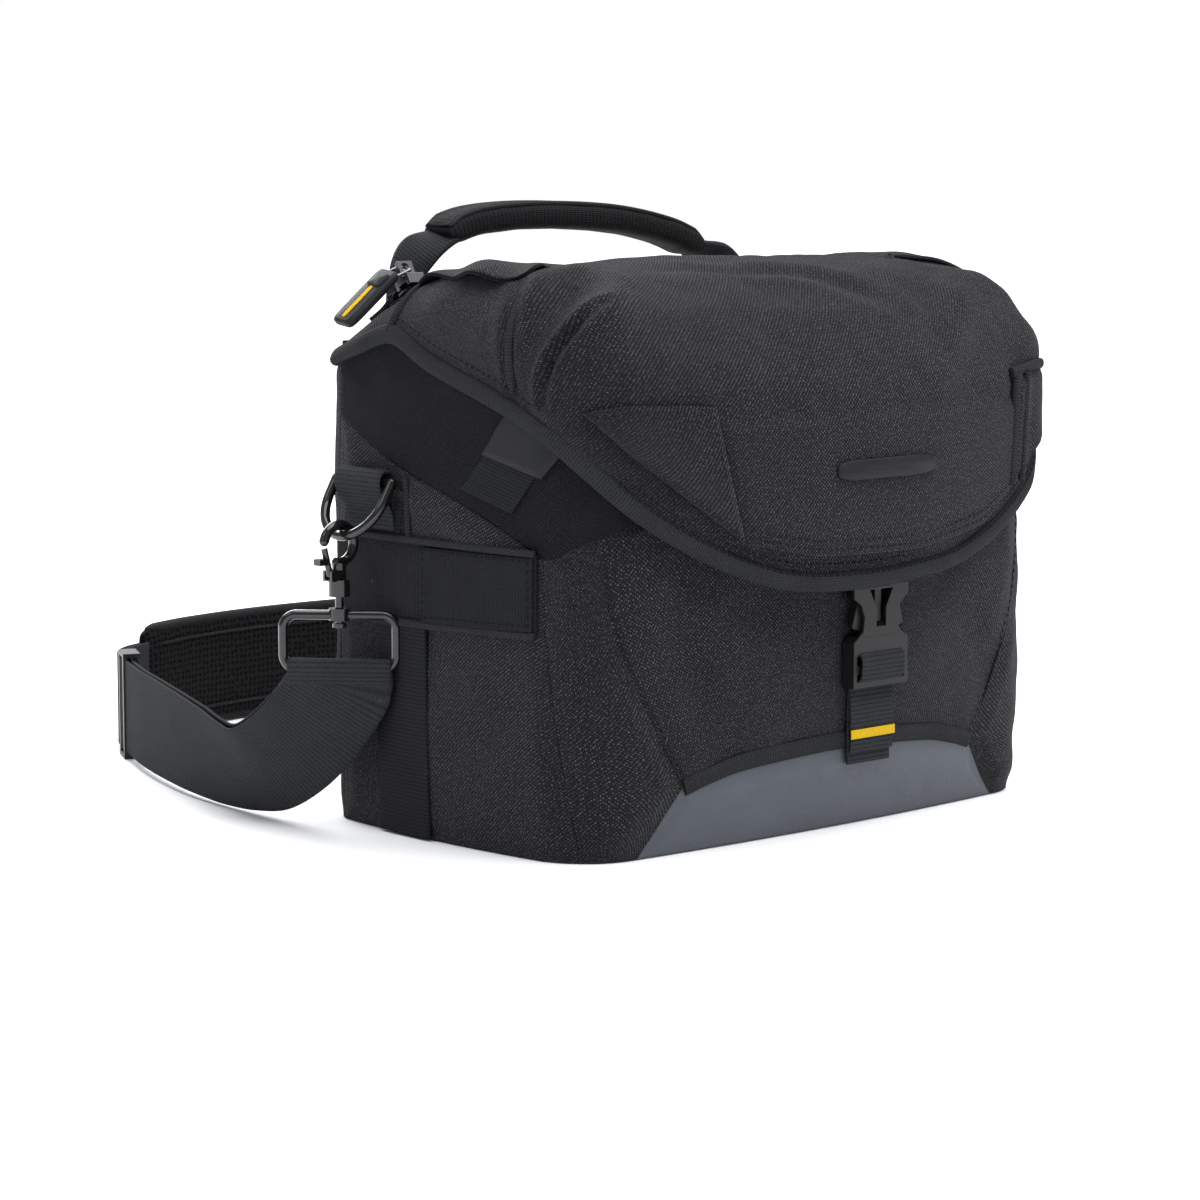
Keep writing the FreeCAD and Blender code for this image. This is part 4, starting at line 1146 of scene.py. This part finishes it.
# --- side trim ---
def side_trim(s, tag):
    """Belt with its doubled front end, the patch under the ring, their binding and stitching."""
    layers = [([(-162, 77, 102), (-160, -67, 106), (-160, -67, 143), (-162, 77, 143)], 90, 2.2, 1.8),
              ([(-162, 8, 104), (-160, -66, 107.5), (-160, -66, 141.5), (-162, 8, 141)], 60, 4.0, 1.6)]
    belts = [patch("belt", sided(corners, s), n, 24, lift, thick, turn=True)
             for corners, n, lift, thick in layers]
    dress(join("side_belt_" + tag, belts), SHADED_BELT, "bag", "side_belt_" + tag)
    shape = sided([(-162, 71, 142), (-162, 18, 142), (-162, 21, 171), (-162, 70, 172)], s)
    dress(patch("ring_patch_" + tag, shape, 40, 30, 2.0, 1.8), SHADED_BELT, "bag")
    edges = [([(-162, 77, 143), (-162, 0, 143.5), (-160, -67, 143.4)], 3.4, 2.2, 3.4),
             ([(-162, 77, 102), (-160, -67, 105.6)], 3.4, 2.2, 3.4),
             ([(-162, 18, 142), (-162, 21, 172)], 3.2, 2.0, 2.4)]
    trims = [tape("edge", sided(line, s), SIDE, wide, high, lift=lift) for line, wide, high, lift in edges]
    dress(join("belt_edges_" + tag, trims), BINDING, "bag")
    rows = [([(-162, 6, 105), (-162, 6, 141)], 4.7), ([(-160, -63.5, 108), (-160, -63.5, 141)], 4.7),
            ([(-162, 72, 139.5), (-162, 0, 139.8), (-160, -64, 139.6)], 4.7),
            ([(-162, 72, 106), (-160, -64, 110)], 4.7),
            ([(-162, 24, 145), (-162, 25, 168), (-162, 66, 169)], 2.7)]
    threads = [sewn(sided(line, s), SIDE, lift, 60) for line, lift in rows]
    threads.append(sewn([(s * (x + 3.4), y, z) for x, y, z in POCKET_SIDE[::-1]], BODY, 0.9, 90))
    dress(join("side_stitching_" + tag, threads), THREAD, "bag")


def upright_webs():
    """Upright webbing below each belt, and the rubber tabs on short webs above."""
    strips, tabs, rubber = [], [], []
    for s in (-1, 1):
        corners = sided([(-162, 43, 1.5), (-162, 5, 1.5), (-162, 5, 106), (-162, 43, 106)], s)
        strips.append(patch("web", corners, 26, 70, 3.6, 2.0))
        corners = sided([(-162, -52, 161), (-162, -19, 170), (-162, -41, 194), (-162, -72, 186)], s)
        tabs.append(patch("web", corners, 24, 40, 2.6, 1.4))
        corners = sided([(-162, -70, 178), (-162, -34, 187), (-162, -52, 211), (-162, -86, 200)], s)
        rubber.append(patch("tab", corners, 40, 26, 4.0, 2.2, puff=0.6, reach=3))
    dress(join("upright_webs", strips), SHADED_BELT, "bag", "upright_webs")
    dress(join("tab_webs", tabs), SHADED_BELT, "bag", "tab_webs")
    dress(join("rubber_tabs", rubber), RUBBER, "bag", "rubber_tabs")


def ring_keeper(s, tag):
    """Webbing folded over the ring's bar and sewn down under its patch."""
    outline = [(-165.6, 147), (-167.4, 156), (-172.4, 163.4), (-174.6, 169), (-173.4, 173.4), (-170, 175.2),
               (-166.2, 173.6), (-164.9, 169), (-164.6, 160), (-164.6, 150)]
    path = smooth_line([(s * x, RING_Y, z) for x, z in outline], 90)
    fold = ribbon("ring_keeper_" + tag, path, (0, 1, 0), 34, 1.6)
    dress(fold, WEB, "bag", "ring_keeper_" + tag)


# --- shoulder strap ---
def left_stations():
    """Points of the left webbing from its loop to the pad, each with its width's direction."""
    x, y, _ = HOOK
    low = LOOP_LOW - 3.3
    out = (math.cos(LOOP_YAW), -math.sin(LOOP_YAW), 0)
    down = (0, 0, -1)
    return [((x, y, low), out), ((x, y, low - 5), out),
            ((x - 2, y + 6, low - 14), (0.66, -0.70, -0.22)),
            ((x - 5, y + 16, low - 27), (0.62, -0.62, -0.48)),
            ((x - 8, y + 31, low - 40), (0.58, -0.50, -0.65)),
            ((x - 9, y + 50, 28), (0.50, -0.36, -0.78)), ((x - 6, y + 72, 26), (0.36, -0.22, -0.90)),
            ((x, y + 100, 26.5), (0.20, -0.10, -0.97)), ((x + 10, y + 138, 28), (0.08, 0, -1)),
            ((-160, 228, STRAP_Z), down), ((-142, 270, STRAP_Z), down),
            ((-112, 325, STRAP_Z), down), ((-76, 345, STRAP_Z), down)]


RIGHT_END = [(186, 196), (192, 230), (192, 262), (184, 288), (172, 303)]


def slab(name, whole, axis, low, high):
    """The part of a mesh between two planes square to the axis; None leaves that end whole."""
    bm = bmesh.new()
    bm.from_mesh(whole.data)
    for mark, inner in ((low, True), (high, False)):
        if mark is not None:
            bmesh.ops.bisect_plane(bm, geom=bm.verts[:] + bm.edges[:] + bm.faces[:], plane_co=mark * MM,
                                   plane_no=axis, clear_inner=inner, clear_outer=not inner)
    mesh = bpy.data.meshes.new(name)
    bm.to_mesh(mesh)
    bm.free()
    return link(name, mesh)


def strap_run(stations, n):
    """Centre line and smoothed width directions of a webbing run through its stations."""
    corners = arr([p for p, _ in stations])
    wide = arr([w for _, w in stations])
    at = lengths(corners)
    along = np.linspace(0, at[-1], n)
    across = unit(np.stack([np.interp(along, at, wide[:, k]) for k in range(3)], 1))
    across = unit(np.stack([np.convolve(np.pad(across[:, k], 6, "edge"), np.ones(13) / 13, "valid")
                            for k in range(3)], 1))
    return smooth_line(corners, n), across


def strap_side(s, tag):
    """Doubled webbing: three loose stretches between loop, hook, ring and bag, and a run fixed to the bag.
    """
    stations = left_stations()
    if s < 0:
        stations = [((-p[0], p[1], p[2]), (-w[0], w[1], w[2])) for p, w in stations[:8]]
        stations += [((x, y, STRAP_Z), (0, 0, -1)) for x, y in RIGHT_END]
    points, across = strap_run(stations, 280)
    face = unit(np.cross(np.gradient(points, axis=0), across))
    t = lengths(points)
    swell = 9.0 * np.exp(-((t - 34) / 26) ** 2) * step(t, 0, 12)
    cuts = [int(np.searchsorted(t, mm)) for mm in STRAP_BENDS]
    axis = unit(points[cuts[3]] - points[0])
    marks = [points[0] + axis * ((points[c] - points[0]) @ axis) for c in cuts]
    for layer, shift in (("a", 1.6), ("b", -1.6 - swell)):
        path = points + face * np.broadcast_to(shift, len(t))[:, None]
        whole = ribbon("whole", path, across, STRAP_WIDE, STRAP_THICK)
        for k in range(4):
            piece = slab("strap_%s_%s%d" % (tag, layer, k), whole, axis, marks[k] if k else None,
                         marks[k + 1] if k < 3 else None)
            dress(piece, WEB, None, *(["strap_web_" + tag] if (k, layer) == (3, "a") else []))
            if k < 3:
                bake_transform(piece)
            else:
                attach(piece, "bag")
        bpy.data.objects.remove(whole)
    strap_fold(s, tag, face[0], across[0])


def strap_fold(s, tag, side, across):
    """Turn of the webbing round the loop's lower bar."""
    half = [(1.6, -7), (2.6, -5), (3.6, -2), (3.9, 0.6), (2.7, 3.2)]
    bend = half + [(0, 4.2)] + [(-a, b) for a, b in half[::-1]]
    low = arr([HOOK[0] * s, HOOK[1], LOOP_LOW])
    wrap = smooth_line([low + side * a + arr([0, 0, b]) for a, b in bend], 70)
    dress(ribbon("strap_fold_" + tag, wrap, across, STRAP_WIDE, STRAP_THICK), WEB, "loop_" + tag)


PAD_RUN = [(-88, 341), (-40, 356), (20, 362), (80, 356), (130, 338), (172, 304)]


def strap_pad():
    """Wide stuffed shoulder pad: mesh inside, woven cloth outside, a rolled edge all round."""
    line = [(x, y, 31.6) for x, y in PAD_RUN]
    core = puffed_tube("strap_pad", line, (0, 0, 1), 60, 12, 170, 56, soft=3.4, seed=101, wave=0.9, cap=16)
    path = smooth_line(line, 170)
    normal = np.cross(unit(np.gradient(path, axis=0)), arr([0, 0, 1.0]))
    faces = core.data.polygons
    co = values(faces, "center", 3) / MM
    near = np.linalg.norm(co[:, None, :2] - path[None, :, :2], axis=2).argmin(1)
    out = ((co - path[near]) * normal[near]).sum(1) * np.sign(normal[len(path) // 2, 1])
    core.data.materials.clear()
    for material in (AIR_MESH, SHELL):
        core.data.materials.append(material)
    faces.foreach_set("material_index", (out > 0).astype(int))
    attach(core, "bag")
    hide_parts("strap_pad")
    edges = [sweep("edge", path[3:-3] + arr([0, 0, z]), (0, 0, 1), 9.0, 5.2, taper=10)
             for z in (28.6, -28.4)]
    for z in (20.5, -20.5):
        for k in (-1, 1):
            rim = path[6:-6] + normal[6:-6] * (k * 6.15) + arr([0, 0, z])
            edges.append(sweep("edge", rim, normal[6:-6] * k, 1.6, 1.0, taper=6))
    dress(join("pad_edges", edges), SHELL_FINE, "bag")


# --- padded insert ---
def unit_cube(k):
    """Surface of a cube from -1 to 1, with k by k points on each face."""
    a, b = np.meshgrid(*[np.linspace(-1, 1, k)] * 2)
    faces, verts = [], []
    for axis in range(3):
        for sign in (-1, 1):
            face = np.zeros((k, k, 3))
            face[..., axis] = sign
            face[..., (axis + 1) % 3] = a if sign > 0 else -a
            face[..., (axis + 2) % 3] = b
            faces += grid_faces(k, k, start=len(verts) * k * k)
            verts.append(face)
    return arr(verts).reshape(-1, 3), faces


def cushion(node, puff):
    """Foam panel the size of its CAD solids, with rounded edges and soft faces."""
    cube, faces = unit_cube(18)
    shells = []
    for low, high in solid_boxes(node):
        centre, half = (arr(low) + arr(high)) / 2, (arr(high) - arr(low)) / 2
        radius = min(half.min(), 4.0)
        inner = np.clip(cube * half, -(half - radius), half - radius)
        p = inner + unit(cube * half - inner + 1e-6 * cube) * radius
        thin = half.argmin()
        mask = np.prod([1 - (p[:, i] / half[i]) ** 4 for i in range(3) if i != thin], axis=0).clip(0, 1)
        rise = puff * mask * (0.7 + 0.5 * noise_at(p + centre, 30, 3.0))
        p[:, thin] += np.sign(p[:, thin]) * rise * (np.abs(p[:, thin]) > half[thin] * 0.6)
        shells.append(make_mesh("foam", p + centre, faces))
    obj = join(node, shells)
    bm = bmesh.new()
    bm.from_mesh(obj.data)
    bmesh.ops.remove_doubles(bm, verts=bm.verts, dist=0.05 * MM)
    bm.to_mesh(obj.data)
    bm.free()
    box_uv(obj)
    dress(obj, LINER, "bag", node)


def solid_boxes(node):
    """Boxes of a node's CAD solids in millimetres; two of the nodes hold a pair of panels."""
    low, high = [[c / MM for c in corner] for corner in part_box(node)]
    if node in ("foam_sides", "dividers"):
        width = {"foam_sides": 9.0, "dividers": 8.0}[node]
        return [(low, [low[0] + width, high[1], high[2]]), ([high[0] - width, low[1], low[2]], high)]
    return [(low, high)]


# --- stage ---
def paint_cad():
    """Materials of the CAD solids that stay: mouldings and metal fittings."""
    sides = ("left", "right")
    kept = {PLASTIC: ["buckle_socket", "socket_plates", "buckle_plug", "plug_arm_left", "plug_arm_right",
                      "strap_glide"],
            BRIGHT_METAL: ["zip_slider", "zip_shackle"],
            BLACK_METAL: [part + tag for part in ("d_ring_", "snap_hook_", "hook_gate_", "strap_loop_")
                          for tag in sides]}
    for material, nodes in kept.items():
        for node in nodes:
            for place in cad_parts[node].material_slots:
                place.material = material


def floor():
    mesh = bpy.data.meshes.new("floor")
    mesh.from_pydata([(-6, -6, 0), (6, -6, 0), (6, 6, 0), (-6, 6, 0)], [], [(0, 1, 2, 3)])
    obj = link("floor", mesh)
    g = Graph("paper")
    soft = g.noise(g.position(), 3.0, 2.0)
    base = g.mix(soft, rgb(0.93, 0.94, 0.96), rgb(0.97, 0.975, 0.985))
    obj.data.materials.append(g.finish(base, 0.75, g.bump(soft, 0.01, 0.001), specular=0.2))


def studio():
    """Soft sky for the light, and plain white where the camera looks past the floor."""
    world = bpy.data.worlds.new("studio")
    bpy.context.scene.world = world
    world.use_nodes = True
    tree = world.node_tree
    sky = tree.nodes["Background"]
    sky.inputs[0].default_value = (0.94, 0.96, 1.0, 1)
    sky.inputs[1].default_value = 0.36
    paper = tree.nodes.new("ShaderNodeBackground")
    paper.inputs[0].default_value = (1, 1, 1, 1)
    seen = tree.nodes.new("ShaderNodeLightPath")
    mix = tree.nodes.new("ShaderNodeMixShader")
    tree.links.new(seen.outputs["Is Camera Ray"], mix.inputs[0])
    tree.links.new(sky.outputs[0], mix.inputs[1])
    tree.links.new(paper.outputs[0], mix.inputs[2])
    tree.links.new(mix.outputs[0], tree.nodes["World Output"].inputs[0])


def lamp(name, at, aim, size, power):
    data = bpy.data.lights.new(name, "AREA")
    data.energy = power
    data.shape = "RECTANGLE"
    data.size, data.size_y = size
    obj = link(name, data)
    obj.location = at
    obj.rotation_euler = (Vector(aim) - Vector(at)).to_track_quat("-Z", "Y").to_euler()


def overhead(power, tilt, spread):
    """Broad even light from above, the same over the whole floor."""
    data = bpy.data.lights.new("overhead", "SUN")
    data.energy = power
    data.angle = spread
    link("overhead", data).rotation_euler = tilt


def camera():
    bpy.context.scene.view_settings.view_transform = "Standard"
    data = bpy.data.cameras.new("camera")
    data.lens = 111.0
    data.sensor_width = 36.0
    data.clip_end = 50.0
    obj = link("camera", data)
    obj.location = (-1.2870, -1.3109, 0.3395)
    aim = Vector((-0.0344, 0.0265, 0.1023)) - obj.location
    obj.rotation_euler = aim.to_track_quat("-Z", "Y").to_euler()
    bpy.context.scene.camera = obj


def build():
    for s, tag in ((1, "left"), (-1, "right")):
        for part in (side_walls, side_trim, ring_keeper, strap_side):
            part(s, tag)
    for part in (rear_wall, hinge_cloth, front_pocket, toe_panel, base_slab, upright_webs, flap_sheet,
                 flap_rear, flap_edges, flap_face, flap_stitching, ear, badge, zip_tape, zip_coil,
                 zip_garage, zip_tab, handle_grip, handle_legs, front_webbing, strap_pad):
        part()
    for node, puff in (("foam_floor", 0.6), ("foam_front", 0.8), ("foam_back", 0.8), ("foam_sides", 0.8),
                       ("dividers", 0.6)):
        cushion(node, puff)
    paint_cad()


build()
floor()
studio()
overhead(4.2, (math.radians(11), math.radians(9), 0), math.radians(70))
lamp("front", (0.3, -1.7, 2.1), (0, 0, 0.2), (0.9, 0.7), 8)
lamp("side", (-1.9, 0.2, 1.7), (0, 0, 0.15), (0.9, 0.7), 6)
lamp("back", (0.4, 1.9, 1.3), (0, 0.05, 0.22), (1.6, 0.8), 42)
camera()
